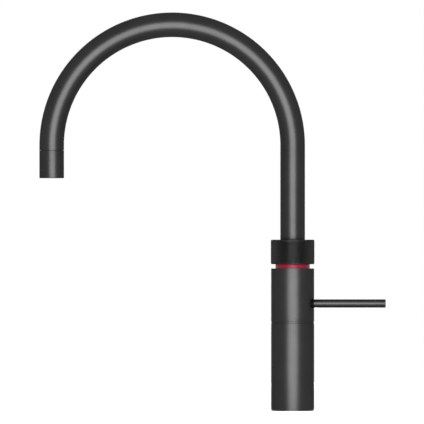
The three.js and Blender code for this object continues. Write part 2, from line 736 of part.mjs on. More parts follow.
function ringSpring() {
  const bottom = driveFlangeTop + GAP + SPRING_WIRE_RADIUS;
  const top = ringTop - RING_CAP - GAP - SPRING_WIRE_RADIUS;
  const coil = new THREE.ExtrudeGeometry(new THREE.Shape(circle(SPRING_WIRE_RADIUS, WIRE_SIDES)), {
    steps: SPRING_TURNS * COIL_STEPS,
    extrudePath: new CoilPath(springMean, SPRING_TURNS, top - bottom),
    bevelEnabled: false,
  });
  return piece('ring_spring', coil, steel(), 0, 0, bottom);
}

// ---------------------------------------------------------------- mixing cartridge

/** Places a shape written in the tap's frame in the lever's own frame. */
function inLeverFrame(geometry) {
  return geometry.translate(0, 0, -leverHeight).rotateY(-Math.PI / 2);
}

/** The three water ports, through a disc of the given thickness. */
function ports(thickness) {
  const port = rod(PORT_RADIUS, thickness + 2 * OVERCUT, DRILL_SIDES)
    .translate(PORT_PITCH, 0, -OVERCUT);
  return around(port, 3);
}

const cartridgeSeal = () => piece('cartridge_seal',
  cut(rod(cartridgeInner - GAP, CARTRIDGE_SEAL, INNER_SIDES), ...ports(CARTRIDGE_SEAL)),
  rubber(), 0, 0, cartridgeSealBack);

const fixedDisc = () => piece('fixed_disc',
  cut(rod(cartridgeInner - GAP, FIXED_DISC, INNER_SIDES), ...ports(FIXED_DISC)),
  ceramic(), 0, 0, fixedDiscBack);

function movingDisc() {
  const pocketDepth = MOVING_DISC / 2 + OVERCUT;
  const pocket = block(2 * PORT_PITCH - PORT_RADIUS, 2 * PORT_RADIUS, pocketDepth)
    .translate(0, 0, -OVERCUT);
  return piece('moving_disc', cut(rod(CARRIER_RADIUS, MOVING_DISC, INNER_SIDES), pocket),
    ceramic(), 0, 0, movingDiscBack);
}

function discCarrier() {
  const socketDepth = STEM_TAIL_REACH + GAP;
  const socket = rod(STEM_TAIL_RADIUS + TAIL_PLAY, socketDepth + OVERCUT, SMALL_SIDES)
    .translate(0, 0, CARRIER_THICKNESS - socketDepth);
  return piece('disc_carrier', cut(rod(CARRIER_RADIUS, CARRIER_THICKNESS, INNER_SIDES), socket),
    palePlastic(), 0, 0, carrierBack);
}

function cartridgeHousing() {
  const shell = tube(cartridgeInner, CARTRIDGE_RADIUS, housingFront - cartridgeSealBack, INNER_SIDES)
    .translate(0, 0, cartridgeSealBack);
  const pinHoles = drilling(
    point(-cartridgeBore, 0, LEVER_PIVOT), point(cartridgeBore, 0, LEVER_PIVOT),
    TRUNNION_RADIUS + GAP, SMALL_SIDES);
  const shape = cut(shell, pinHoles, ...cartridgeDrillings().map(inLeverFrame));
  return piece('cartridge_housing', shape, plastic());
}

function cartridgeNut() {
  const outer = tube(nutBore, CARTRIDGE_RADIUS, NUT_LENGTH, INNER_SIDES);
  const notch = block(2 * cartridgeBore, SPANNER_NOTCH, SPANNER_NOTCH)
    .translate(0, 0, NUT_LENGTH - SPANNER_NOTCH / 2);
  return piece('cartridge_nut', cut(outer, notch), brass(), 0, 0, cartridgeNutBack);
}

// ---------------------------------------------------------------- lever

/** The ball that swings on its trunnions, with a stepped bore for the lever's stem. */
function leverYoke() {
  const ball = new THREE.SphereGeometry(YOKE_RADIUS, SMALL_SIDES, SMALL_SIDES / 2);
  const reach = CARTRIDGE_RADIUS - GAP;
  const pins = drilling(point(-reach, 0, 0), point(reach, 0, 0), TRUNNION_RADIUS, SMALL_SIDES);
  const headBore = drilling(
    point(0, 0, -YOKE_RADIUS - OVERCUT), point(0, 0, STEM_HEAD_FRONT + GAP),
    STEM_HEAD_RADIUS + GAP, SMALL_SIDES);
  const rodBore = drilling(point(0, 0, 0), point(0, 0, YOKE_RADIUS + OVERCUT),
    STEM_ROD_RADIUS + GAP, SMALL_SIDES);
  return piece('lever_yoke', cut(join(ball, pins), headBore, rodBore), steel(),
    0, 0, LEVER_PIVOT);
}

function leverStem() {
  const tailEnd = carrierFront - STEM_TAIL_REACH;
  const headBack = LEVER_PIVOT - STEM_HEAD_BACK;
  const headFront = LEVER_PIVOT + STEM_HEAD_FRONT;
  const rodEnd = leverBack + LEVER_SOCKET - GAP;
  const outline = [
    [0, tailEnd], [STEM_TAIL_RADIUS, tailEnd], [STEM_TAIL_RADIUS, headBack],
    [STEM_HEAD_RADIUS, headBack], [STEM_HEAD_RADIUS, headFront], [STEM_ROD_RADIUS, headFront],
    [STEM_ROD_RADIUS, rodEnd], [0, rodEnd],
  ];
  return piece('lever_stem', turned(outline, SMALL_SIDES), brass());
}

/** The rubber collar that shows in the slot at the lever's root. */
const leverCollar = () => piece('lever_collar',
  tube(STEM_ROD_RADIUS + GAP, collarRadius, COLLAR_LENGTH, INNER_SIDES), rubber(),
  0, 0, collarBack);

function leverRod() {
  const length = LEVER_TIP - leverBack;
  const bore = STEM_ROD_RADIUS + GAP;
  const outline = [
    [0, LEVER_SOCKET], [bore, LEVER_SOCKET], [bore, 0], [LEVER_RADIUS, 0],
    [LEVER_RADIUS, length - LEVER_CHAMFER], [LEVER_RADIUS - LEVER_CHAMFER, length],
    [0, length],
  ];
  const screwHole = drilling(
    point(0, 0, SET_SCREW_PLACE), point(LEVER_RADIUS + OVERCUT, 0, SET_SCREW_PLACE),
    SET_SCREW_RADIUS + GAP);
  return piece('lever_rod', cut(turned(outline, INNER_SIDES), screwHole), satinBlack(),
    0, 0, leverBack);
}

const leverSetScrew = () => piece('lever_set_screw',
  rod(SET_SCREW_RADIUS, LEVER_RADIUS - STEM_ROD_RADIUS - 2 * GAP, DRILL_SIDES)
    .rotateY(Math.PI / 2),
  steel(), STEM_ROD_RADIUS + GAP, 0, leverBack + SET_SCREW_PLACE);

// ---------------------------------------------------------------- spout and nozzle

function spoutStem() {
  const upper = spoutInner - GAP;
  const clipLevel = spoutClipBottom - GAP;
  const clipRoof = spoutClipBottom + CLIP_THICKNESS + GAP;
  const grooves = [[clipLevel, clipRoof],
    ...stemRings.map(({ bottom, height }) => [bottom - GAP, bottom + height + GAP])];
  const outline = [[STEM_BORE, stemBottom], [SPOUT_RADIUS, stemBottom]];
  for (const [bottom, top] of grooves) {
    outline.push([SPOUT_RADIUS, bottom], [stemGroove, bottom]);
    outline.push([stemGroove, top], [SPOUT_RADIUS, top]);
  }
  outline.push([SPOUT_RADIUS, stemShoulder], [upper, stemShoulder]);
  outline.push([upper, stemShoulder + STEM_INSERT], [STEM_BORE, stemShoulder + STEM_INSERT]);
  return piece('spout_stem', turned(outline, INNER_SIDES).translate(0, 0, -stemBottom), brass(),
    0, 0, stemBottom);
}

const spoutClip = () => piece('spout_clip',
  snapRing(stemGroove + GAP, neckOuter - NECK_WALL / 2), steel(), 0, 0, spoutClipBottom);

const stemRing = ({ name, height, bottom, rubber: isRubber }) => piece(name,
  tube(stemGroove + GAP, SPOUT_RADIUS, height, INNER_SIDES),
  isRubber ? rubber() : palePlastic(), 0, 0, bottom);

const spoutTube = () => piece('spout_tube',
  archedTube(spoutInner, SPOUT_RADIUS, stemShoulder + GAP, nozzleShoulder + GAP,
    INNER_SIDES, BORE_SIDES),
  satinBlack());

const boilingTube = () => piece('boiling_tube',
  archedTube(BOILING_TUBE_RADIUS - BOILING_TUBE_WALL, BOILING_TUBE_RADIUS,
    chamberFloor - BOILING_SOCKET + GAP, nozzleMouth + NOZZLE_RECESS + FLOW_INSERT_HEIGHT / 2,
    DRILL_SIDES, DRILL_SIDES),
  palePlastic());

function nozzleShell() {
  const mouthInner = SPOUT_RADIUS - NOZZLE_WALL;
  const spigot = spoutInner - GAP;
  const spigotInner = spigot - NOZZLE_SPIGOT_WALL;
  const spigotTop = NOZZLE_LENGTH + GAP + NOZZLE_SPIGOT_LENGTH;
  const outline = [
    [mouthInner, 0], [SPOUT_RADIUS - NOZZLE_CHAMFER, 0], [SPOUT_RADIUS, NOZZLE_CHAMFER],
    [SPOUT_RADIUS, NOZZLE_LENGTH], [spigot, NOZZLE_LENGTH], [spigot, spigotTop],
    [spigotInner, spigotTop], [spigotInner, nozzleStep], [mouthInner, nozzleStep],
  ];
  return piece('nozzle_shell', turned(outline, OUTER_SIDES), satinBlack());
}

function flowInsert() {
  const radius = SPOUT_RADIUS - NOZZLE_WALL - GAP;
  const tubeSocket = BOILING_TUBE_RADIUS + GAP;
  const hub = tubeSocket + FLOW_HUB_WALL;
  const socketFloor = FLOW_INSERT_HEIGHT / 2 - GAP;
  const outline = [
    [FLOW_OUTLET_RADIUS, 0], [radius, 0], [radius, FLOW_INSERT_HEIGHT],
    [hub, FLOW_INSERT_HEIGHT], [hub, FLOW_INSERT_HEIGHT + FLOW_HUB_RISE],
    [tubeSocket, FLOW_INSERT_HEIGHT + FLOW_HUB_RISE], [tubeSocket, socketFloor],
    [FLOW_OUTLET_RADIUS, socketFloor],
  ];
  const hole = rod(FLOW_HOLE_RADIUS, FLOW_INSERT_HEIGHT + 2 * OVERCUT, DRILL_SIDES)
    .translate((hub + radius) / 2, 0, -OVERCUT);
  return piece('flow_insert', cut(turned(outline, INNER_SIDES), ...around(hole, FLOW_HOLES)),
    plastic(), 0, 0, NOZZLE_RECESS);
}

const nozzleSeal = () => {
  const outer = SPOUT_RADIUS - NOZZLE_WALL - GAP;
  return piece('nozzle_seal',
    tube(outer - NOZZLE_SEAL_WIDTH, outer, NOZZLE_SEAL_HEIGHT, INNER_SIDES), rubber(),
    0, 0, NOZZLE_RECESS + FLOW_INSERT_HEIGHT + GAP);
};

// ---------------------------------------------------------------- assembly

function groupOf(...members) {
  const group = new THREE.Group();
  group.add(...members);
  return group;
}

const fixings = groupOf(
  baseSeal(), baseFoot(), mountingShank(), worktopGasket(), clampPlate(), clampNut());

const plumbing = groupOf(
  ...supplies.map(supplyPipe), ...supplies.map(supplyInlet), cableGrommet());

const column = groupOf(
  lowerSleeve(), sleeveJointRing(), upperSleeve(), valveBody(), neck(), turnStopPin(),
  driveClip(), ledBoard(), lightRing());

const boilingRing = groupOf(
  driveSleeve(), ringMagnet('ring_magnet_right', 1), ringMagnet('ring_magnet_left', -1),
  knurledRing(), ringRetainer(), ringSpring());

const leverSide = groupOf(
  cartridgeSeal(), fixedDisc(), movingDisc(), discCarrier(), cartridgeHousing(),
  cartridgeNut(), leverYoke(), leverStem(), leverCollar(), leverRod(), leverSetScrew());
leverSide.position.z = leverHeight;
leverSide.rotation.y = Math.PI / 2;

const nozzle = groupOf(nozzleShell(), flowInsert(), nozzleSeal());
nozzle.position.set(-2 * SPOUT_BEND_RADIUS, 0, nozzleMouth);

const spout = groupOf(
  spoutStem(), spoutClip(), ...stemRings.map(stemRing), spoutTube(), boilingTube(), nozzle);

const tap = groupOf(fixings, plumbing, column, boilingRing, leverSide, spout);

export default tap;
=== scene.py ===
import json
import math

import bmesh
import bpy
from mathutils import Matrix, Vector

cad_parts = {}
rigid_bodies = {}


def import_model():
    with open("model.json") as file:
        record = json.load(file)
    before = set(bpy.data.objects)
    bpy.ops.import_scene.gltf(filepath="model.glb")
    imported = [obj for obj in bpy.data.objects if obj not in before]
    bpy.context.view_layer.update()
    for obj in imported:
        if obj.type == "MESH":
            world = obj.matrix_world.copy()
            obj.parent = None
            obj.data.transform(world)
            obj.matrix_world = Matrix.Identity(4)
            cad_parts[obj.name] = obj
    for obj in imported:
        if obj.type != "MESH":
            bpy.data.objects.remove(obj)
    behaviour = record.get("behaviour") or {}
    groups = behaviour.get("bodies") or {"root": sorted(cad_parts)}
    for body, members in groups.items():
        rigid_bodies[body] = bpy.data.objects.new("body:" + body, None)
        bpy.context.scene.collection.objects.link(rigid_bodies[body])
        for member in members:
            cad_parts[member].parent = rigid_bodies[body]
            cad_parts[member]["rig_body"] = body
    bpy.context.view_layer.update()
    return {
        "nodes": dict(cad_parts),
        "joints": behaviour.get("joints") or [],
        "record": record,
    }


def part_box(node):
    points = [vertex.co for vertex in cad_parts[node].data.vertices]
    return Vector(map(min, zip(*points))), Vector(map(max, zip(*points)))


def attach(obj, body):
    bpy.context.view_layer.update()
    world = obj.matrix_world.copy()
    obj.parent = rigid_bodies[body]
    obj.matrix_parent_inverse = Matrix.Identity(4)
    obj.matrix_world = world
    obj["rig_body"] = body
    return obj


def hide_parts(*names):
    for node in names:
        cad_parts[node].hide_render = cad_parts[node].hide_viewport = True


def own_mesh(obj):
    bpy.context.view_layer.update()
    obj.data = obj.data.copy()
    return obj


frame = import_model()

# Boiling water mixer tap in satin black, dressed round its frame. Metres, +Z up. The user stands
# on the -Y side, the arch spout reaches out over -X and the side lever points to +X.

MM = 0.001

# ---------------------------------------------------------------- the photograph's view

VIEW_WIDTH = 0.3907  # what the photograph spans at the tap
VIEW_CENTRE = Vector((-0.0743, 0, 0.1832))  # the point in the middle of the photograph
LENS = 1000  # a very long lens, in millimetres: the photograph has almost no perspective
SENSOR = 36
CLIP_NEAR = 0.1
CLIP_FAR = 60

# ---------------------------------------------------------------- light

LAMP_DISTANCE = 1.8
LAMP_ACROSS = 0.015  # how far the lamps' middle lies from the column, towards the lever
LAMP_HEIGHT = 0.18
FRONT_LAMP_SPREAD = math.radians(26)  # half the angle that the lamp fills, seen from the tap
FRONT_LAMP_RADIANCE = 9.1
BACK_LAMP_SPREAD = math.radians(10)
BACK_LAMP_RADIANCE = 3.5
ROOM_LEVEL = 0.25  # what the room's walls and ceiling send onto the tap
FLOOR_PAINT = (0.85, 0.85, 0.85)
FLOOR_GLOW = 0.8  # lifts the floor to white and leaves its shadows
FLOOR_RADIUS = 9.0
FLOOR_SIDES = 64
FLOOR_SINK = 0.1 * MM  # keeps the floor just clear of the seal that stands on it

# ---------------------------------------------------------------- sizes beside those of the frame

# BOILING_TUBE and all bores, holes and outlets are given by their radius.
GAP = 0.3 * MM  # between pieces that fit each other

# Column and light ring
LIP_THICKNESS = 2.2 * MM  # of the rim at the column's top, over the light ring's flange
LIGHT_WALL = 2.3 * MM
LIGHT_FLANGE = 2.5 * MM

# Push-and-turn ring
RING_CAP = 2.0 * MM
RING_CHAMFER = 0.6 * MM
RETAINER_WIDTH = 1.1 * MM
DRIVE_FLANGE = 2.4 * MM
SPRING_WIRE = 1.0 * MM
SPRING_TURNS = 4
CLOSED_TURN_RISE = 1.1  # of the wire's thickness, in the turn that closes each end

# Lever and cartridge nut
SLOT_CLEARANCE = 0.4 * MM
LEVER_SOCKET = 7.2 * MM  # depth of the hole that the stem is fixed in
LEVER_BORE = 2.0 * MM
SET_SCREW_PLACE = 2.6 * MM  # from the lever's inner end
SET_SCREW_BORE = 1.3 * MM
NUT_WIDTH = 3.0 * MM
SPANNER_NOTCH = 2.0 * MM

# Spout, nozzle and outlet insert
NECK_WALL = 1.6 * MM
SPOUT_WALL = 1.2 * MM
JOINT_GAP = 0.15 * MM  # left open between the spout and the nozzle
NOZZLE_LENGTH = 25.6 * MM
NOZZLE_WALL = 1.7 * MM
NOZZLE_CHAMFER = 0.5 * MM
SPIGOT_WALL = 2.0 * MM
BOILING_TUBE = 3.0 * MM
FLOW_HOLES = 8
FLOW_HOLE = 1.1 * MM
FLOW_OUTLET = 1.6 * MM
FLOW_HUB_WALL = 1.3 * MM
FLOW_HUB_RISE = 5.0 * MM

# Below the worktop
SHANK_WALL = 2.8 * MM
SHANK_PITCH = 1.5 * MM
SHANK_PLAIN_END = 1.0 * MM  # under the thread, and between it and the worktop's upper face
CLAMP_NUT_SLOPE = math.radians(30)
CLAMP_NUT_SHOULDER = 0.5 * MM  # from the flats in to where a turned-off corner starts
CLAMP_NUT_FLARE = 1.0 * MM
HEXAGON = 6
PIPE_WALL = 1.0 * MM
INLET_WALL = 1.2 * MM
INLET_STEP = 0.6 * MM
INLET_COLLAR = 7.0 * MM
INLET_GRIP = 4.0 * MM  # pipe held inside the inlet
INLET_BORE = 2.2 * MM
INLET_PITCH = 1.0 * MM
INLET_PLAIN_END = 0.5 * MM
CABLE_HOLE = 2.0 * MM

# Roundings, by the radius of each edge
SOFT_EDGE = 0.12 * MM  # where no other is given
COLUMN_EDGE = 0.1 * MM
JOINT_EDGE = 0.12 * MM
SLOT_EDGE = 0.35 * MM
LEVER_EDGE = 0.45 * MM
RING_BORE_EDGE = 0.4 * MM
MOUTH_EDGE = 0.3 * MM
INSERT_EDGE = 0.4 * MM
SHANK_EDGE = 0.5 * MM
FOOT_EDGE = 0.3 * MM
GASKET_EDGE = 0.6 * MM
PLATE_EDGE = 0.5 * MM
INLET_EDGE = 0.4 * MM
INLET_COLLAR_EDGE = 0.3 * MM
GROMMET_EDGE = 0.5 * MM

# Knurl and threads
KNURLS = 150
KNURL_ROWS = 44
KNURL_DEPTH = 0.26 * MM
KNURL_FLAT = 0.36  # how much of each diamond's width its flat top takes
THREAD_DEPTH = 0.55  # of the pitch
THREAD_FLAT = 0.1875  # of the pitch, along a crest or a root

# ---------------------------------------------------------------- fineness of the meshes

SIDES = 144
FINE_SIDES = 96
SMALL_SIDES = 48
WIRE_SIDES = 12
COIL_STEPS = 48  # along each turn of the spring
SPOUT_BEND_STEPS = 110
THREAD_ROWS = 5  # rings in each turn of a thread
EDGE_STEPS = 4
EDGE_SHARE = 0.45  # the most that one rounding takes of the straight run beside it
FLAT_CORNER = math.radians(88)  # a corner whose half angle is wider stays as it is
PATCH_FIRST_SIDE = -18  # the wall round the lever's slot is meshed apart, between these sides
PATCH_LAST_SIDE = 9
PATCH_HALF_HEIGHT = 8.0 * MM
PATCH_ROWS = 8
PATCH_RINGS = 5
CREASE = math.radians(34)
NEAR = 0.001 * MM  # closer than this, two lengths are the same
SLIVER = 0.0001 * MM  # edges shorter than this are closed up after a cut
PINHOLE_SIDES = 4  # holes with no more sides than this are filled after a cut
OVERSHOOT = 1.0 * MM  # how far a cutting tool runs past what it cuts


def node_box(name):
    """A CAD node's lowest and highest corners, its middle and half its width across Y."""
    low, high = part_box(name)
    return low, high, (low + high) / 2, (high.y - low.y) / 2


def bottom(name):
    """The height of a CAD node's lowest corner."""
    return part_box(name)[0].z


def top(name):
    """The height of a CAD node's highest corner."""
    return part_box(name)[1].z


def radius(name):
    """Half a CAD node's width across Y."""
    *_, half = node_box(name)
    return half


def joint(name):
    """What the frame says of a joint."""
    return next(row for row in frame["joints"] if row["name"] == name)


# ---------------------------------------------------------------- mesh helpers


def rounded(outline):
    """A closed outline of (radius, height, rounding) with each corner drawn as an arc."""
    points = []
    count = len(outline)
    for index, corner in enumerate(outline):
        here = Vector(corner[:2])
        before = Vector(outline[index - 1][:2]) - here
        after = Vector(outline[(index + 1) % count][:2]) - here
        reach = corner[2] if len(corner) > 2 else SOFT_EDGE
        half = before.angle(after) / 2
        if reach == 0 or here.x == 0 or half > FLAT_CORNER:
            points.append(here)
            continue
        run = min(reach / math.tan(half), EDGE_SHARE * before.length, EDGE_SHARE * after.length)
        start = here + before.normalized() * run
        end = here + after.normalized() * run
        middle = here + (before.normalized() + after.normalized()).normalized() * (
            run / math.cos(half))
        first = math.atan2(start.y - middle.y, start.x - middle.x)
        sweep = math.atan2(end.y - middle.y, end.x - middle.x) - first
        sweep = (sweep + math.pi) % (2 * math.pi) - math.pi
        arc = (start - middle).length
        for step in range(EDGE_STEPS + 1):
            angle = first + sweep * step / EDGE_STEPS
            points.append(middle + arc * Vector((math.cos(angle), math.sin(angle))))
    return points


def divided(points, wall, start, end, steps):
    """The outline with extra points between two heights, on its runs at the given radius."""
    levels = [start + (end - start) * step / steps for step in range(steps + 1)]
    made = []
    for here, after in zip(points, points[1:] + points[:1]):
        made.append(here)
        if abs(after.x - wall) > NEAR or abs(here.x - wall) > NEAR:
            continue
        low, high = sorted((here.y, after.y))
        inside = [level for level in levels if low + NEAR < level < high - NEAR]
        if here.y > after.y:
            inside.reverse()
        made.extend(Vector((wall, level)) for level in inside)
    return made


def upright(x=0.0, y=0.0):
    """An axis that stands on the point (x, y)."""
    return lambda height: Matrix.Translation((x, y, height))


def bridge(bm, first, second, skip=()):
    """Faces between two rings of corners, either of which may be one corner on the axis."""
    if len(first) == 1 and len(second) == 1:
        return
    count = max(len(first), len(second))
    for index in range(count):
        if index in skip:
            continue
        after = (index + 1) % count
        corners = []
        for ring, order in ((first, (index, after)), (second, (after, index))):
            corners += [ring[k] for k in order] if len(ring) > 1 else ring
        bm.faces.new(corners)


def ring_of(bm, reach, height, sides, axis, shape=None):
    """One ring of corners round the axis, or one corner on it."""
    place = axis(height)
    if reach < NEAR:
        return [bm.verts.new(place @ Vector((0, 0, 0)))]
    ring = []
    for side in range(sides):
        angle = 2 * math.pi * side / sides
        here = shape(reach, angle, height) if shape else reach
        corner = Vector((here * math.cos(angle), here * math.sin(angle), 0))
        ring.append(bm.verts.new(place @ corner))
    return ring


def turned(outline, sides, axis=None, shape=None):
    """A closed outline turned about its axis. An outline that starts on the axis also ends there."""
    bm = bmesh.new()
    axis = axis or upright()
    rings = [ring_of(bm, point[0], point[1], sides, axis, shape) for point in outline]
    closed = rings[1:] + rings[:1]
    for first, second in zip(rings, closed):
        bridge(bm, first, second)
    return bm


def mesh_object(name, bm):
    """A mesh object with outward faces, smooth but for its real edges."""
    bmesh.ops.recalc_face_normals(bm, faces=bm.faces)
    if bm.calc_volume(signed=True) < 0:
        bmesh.ops.reverse_faces(bm, faces=bm.faces)
    for face in bm.faces:
        face.smooth = True
    for edge in bm.edges:
        edge.smooth = edge.is_manifold and edge.calc_face_angle(0) < CREASE
    mesh = bpy.data.meshes.new(name)
    bm.to_mesh(mesh)
    bm.free()
    made = bpy.data.objects.new(name, mesh)
    bpy.context.scene.collection.objects.link(made)
    return made


def combined(name, body, tools, operation="DIFFERENCE"):
    """The body cut by the tools, or kept only inside them."""
    base = mesh_object(name, body)
    cutters = [mesh_object(f"{name}_tool_{index}", tool) for index, tool in enumerate(tools)]
    for cutter in cutters:
        step = base.modifiers.new("cut", "BOOLEAN")
        step.operation = operation
        step.solver = "EXACT"
        step.object = cutter
    bpy.context.view_layer.update()
    done = base.evaluated_get(bpy.context.evaluated_depsgraph_get())
    bm = bmesh.new()
    bm.from_mesh(done.to_mesh())
    done.to_mesh_clear()
    for spare in [base, *cutters]:
        bpy.data.objects.remove(spare)
    bmesh.ops.dissolve_degenerate(bm, dist=SLIVER, edges=bm.edges)
    bmesh.ops.holes_fill(bm, edges=bm.edges, sides=PINHOLE_SIDES)
    return bm


def dress(node, bm, material):
    """The finished piece that stands for a CAD node."""
    made = mesh_object(f"{node}_finished", bm)
    made.data.materials.append(material)
    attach(made, frame["nodes"][node]["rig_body"])
    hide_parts(node)
    return made


# ---------------------------------------------------------------- materials

NOISE_LOW = 0.35  # nearly all of a noise lies between these
NOISE_HIGH = 0.65
WORN_FROM = 0.53  # pointiness where an edge begins to look worn, and where it is worn bare
WORN_TO = 0.62
DETAIL = 3.0
COATING_CLOUD = 18 * MM  # the size of the faint clouds in each kind of finish
METAL_CLOUD = 9 * MM
MOULDED_CLOUD = 6 * MM
COATING_SPAN = 0.02  # how far the grain takes the roughness to either side
MOULDED_SPAN = 0.05
MARKS_SMOOTHER = 0.07  # how far tool marks take the roughness down and up
MARKS_ROUGHER = 0.09
MARK_DEPTH = 0.004 * MM
MIX_COLOURS = (6, 7)  # a Mix node's two colour sockets, and the output that holds their mixture
MIX_RESULT = 2


class Surface:
    """A node material with one Principled shader, built up step by step."""

    def __init__(self, name, rough, metallic=0.0, specular=0.5, tint=None):
        self.material = bpy.data.materials.new(name)
        self.material.use_nodes = True
        self.nodes = self.material.node_tree.nodes
        self.links = self.material.node_tree.links
        self.shader = self.nodes["Principled BSDF"]
        self.set("Roughness", rough)
        self.set("Metallic", metallic)
        self.set("Specular IOR Level", specular)
        if tint is not None:
            self.set("Specular Tint", (tint, tint, tint, 1))
        self.place = self.nodes.new("ShaderNodeTexCoord").outputs["Object"]

    def set(self, socket, value):
        """Gives one of the shader's inputs a plain value."""
        self.shader.inputs[socket].default_value = value

    def join(self, output, target):
        """Leads one step's output into the input of another."""
        self.links.new(output, target)

    def noise(self, size, detail=2.0, stretch=(1, 1, 1)):
        """Noise whose grains are about the given size in metres, drawn out by the stretch."""
        lay = self.nodes.new("ShaderNodeMapping")
        lay.inputs["Scale"].default_value = [1 / (size * part) for part in stretch]
        self.join(self.place, lay.inputs["Vector"])
        grain = self.nodes.new("ShaderNodeTexNoise")
        grain.inputs["Scale"].default_value = 1.0
        grain.inputs["Detail"].default_value = detail
        self.join(lay.outputs["Vector"], grain.inputs["Vector"])
        return grain.outputs["Fac"]

    def spread(self, value, low, high, start=NOISE_LOW, end=NOISE_HIGH):
        """The value's own span, from start to end, moved to the span from low to high."""
        node = self.nodes.new("ShaderNodeMapRange")
        for socket, number in (("From Min", start), ("From Max", end),
                               ("To Min", low), ("To Max", high)):
            node.inputs[socket].default_value = number
        self.join(value, node.inputs["Value"])
        return node.outputs["Result"]

    def mixed(self, share, first, second):
        """A colour between two others. Each is a colour or another step's output."""
        node = self.nodes.new("ShaderNodeMix")
        node.data_type = "RGBA"
        self.join(share, node.inputs["Factor"])
        for socket, colour in zip(MIX_COLOURS, (first, second)):
            if isinstance(colour, bpy.types.NodeSocket):
                self.join(colour, node.inputs[socket])
            else:
                node.inputs[socket].default_value = (*colour, 1)
        return node.outputs[MIX_RESULT]

    def edges(self):
        """One on the piece's outer edges, nothing on its faces and in its corners."""
        sharp = self.nodes.new("ShaderNodeNewGeometry").outputs["Pointiness"]
        return self.spread(sharp, 0, 1, WORN_FROM, WORN_TO)

    def colour(self, output):
        """Colours the surface by a step's output."""
        self.join(output, self.shader.inputs["Base Color"])

    def roughness(self, output):
        """Makes the surface as rough as a step's output says."""
        self.join(output, self.shader.inputs["Roughness"])

    def bump(self, height, depth):
        """Relief of the given real depth in metres."""
        relief = self.nodes.new("ShaderNodeBump")
        relief.inputs["Distance"].default_value = depth
        self.join(height, relief.inputs["Height"])
        self.join(relief.outputs["Normal"], self.shader.inputs["Normal"])


def black_coating(name, dark, light, worn, rough, tint, grain=0.35 * MM, relief=0.003 * MM):
    """Thin satin black coating on metal: cloudy by a hair, finely grained and paler on its edges."""
    made = Surface(name, rough, metallic=1.0, tint=tint)
    fine = made.noise(grain)
    cloud = made.noise(COATING_CLOUD, DETAIL)
    body = made.mixed(made.spread(cloud, 0, 1), dark, light)
    made.colour(made.mixed(made.edges(), body, worn))
    made.roughness(made.spread(fine, rough - COATING_SPAN, rough + COATING_SPAN))
    made.bump(fine, relief)
    return made.material


def bare_metal(name, dark, light, rough, lay, grain=0.05 * MM):
    """Bare metal with tool marks that run across the direction where lay is short."""
    made = Surface(name, rough, metallic=1.0)
    marks = made.noise(grain, DETAIL, lay)
    cloud = made.noise(METAL_CLOUD, DETAIL)
    body = made.mixed(made.spread(cloud, 0, 1), dark, light)
    made.colour(made.mixed(made.edges(), body, light))
    made.roughness(made.spread(marks, rough - MARKS_SMOOTHER, rough + MARKS_ROUGHER))
    made.bump(marks, MARK_DEPTH)
    return made.material


def moulded(name, dark, light, rough, specular, grain=0.15 * MM, relief=0.005 * MM):
    """Moulded plastic, rubber or ceramic with a fine even grain."""
    made = Surface(name, rough, specular=specular)
    fine = made.noise(grain)
    cloud = made.noise(MOULDED_CLOUD, DETAIL)
    made.colour(made.mixed(made.spread(cloud, 0, 1), dark, light))
    made.roughness(made.spread(fine, rough - MOULDED_SPAN, rough + MOULDED_SPAN))
    made.bump(fine, relief)
    return made.material


TURNED_ABOUT_Z = (60, 60, 1)  # marks that run round a piece turned on that axis
TURNED_ABOUT_X = (1, 60, 60)
DRAWN_ALONG_Z = (1, 1, 60)  # marks that run along a pipe
BRASS_DARK = (0.52, 0.34, 0.13)
BRASS_LIGHT = (0.66, 0.46, 0.2)

satin_black = black_coating(
    "satin_black", dark=(0.0295, 0.0295, 0.0299), light=(0.0325, 0.0325, 0.0329),
    worn=(0.055, 0.055, 0.056), rough=0.355, tint=0.5)
lever_black = black_coating(
    "lever_black", dark=(0.030, 0.030, 0.0304), light=(0.033, 0.033, 0.0334),
    worn=(0.04, 0.04, 0.041), rough=0.38, tint=0.0)
knurled_black = black_coating(
    "knurled_black", dark=(0.032, 0.032, 0.0324), light=(0.037, 0.037, 0.0375),
    worn=(0.04, 0.04, 0.0405), rough=0.36, tint=0.4, grain=0.2 * MM)
red_light = moulded(
    "red_light", dark=(0.17, 0.005, 0.020), light=(0.19, 0.007, 0.024), rough=0.32,
    specular=0.14)
joint_plastic = moulded(
    "joint_plastic", dark=(0.008, 0.008, 0.0085), light=(0.011, 0.011, 0.0115), rough=0.5,
    specular=0.3)
pale_plastic = moulded(
    "pale_plastic", dark=(0.66, 0.64, 0.57), light=(0.72, 0.7, 0.63), rough=0.45, specular=0.5)
brass = bare_metal("brass", BRASS_DARK, BRASS_LIGHT, rough=0.32, lay=TURNED_ABOUT_Z)
lever_brass = bare_metal("lever_brass", BRASS_DARK, BRASS_LIGHT, rough=0.32, lay=TURNED_ABOUT_X)
steel = bare_metal(
    "steel", dark=(0.4, 0.405, 0.415), light=(0.47, 0.475, 0.485), rough=0.33,
    lay=TURNED_ABOUT_Z)
# Brass and steel darkened with painted shade, for the pieces seen through the lever's slot.
dull_brass = bare_metal(
    "dull_brass", dark=(0.045, 0.032, 0.016), light=(0.065, 0.046, 0.023), rough=0.5,
    lay=TURNED_ABOUT_Z)
dull_steel = bare_metal(
    "dull_steel", dark=(0.03, 0.03, 0.032), light=(0.045, 0.045, 0.047), rough=0.45,
    lay=TURNED_ABOUT_Z)
copper = bare_metal(
    "copper", dark=(0.58, 0.26, 0.14), light=(0.72, 0.36, 0.22), rough=0.3, lay=DRAWN_ALONG_Z)
# Black rubber with its colour and gloss kept darker than real rubber, as painted shade where the
# lever's collar fills the slot. The gasket and grommet share it.
rubber = moulded(
    "rubber", dark=(0.004, 0.004, 0.0042), light=(0.006, 0.006, 0.0063), rough=0.75,
    specular=0.04, grain=0.3 * MM, relief=0.009 * MM)
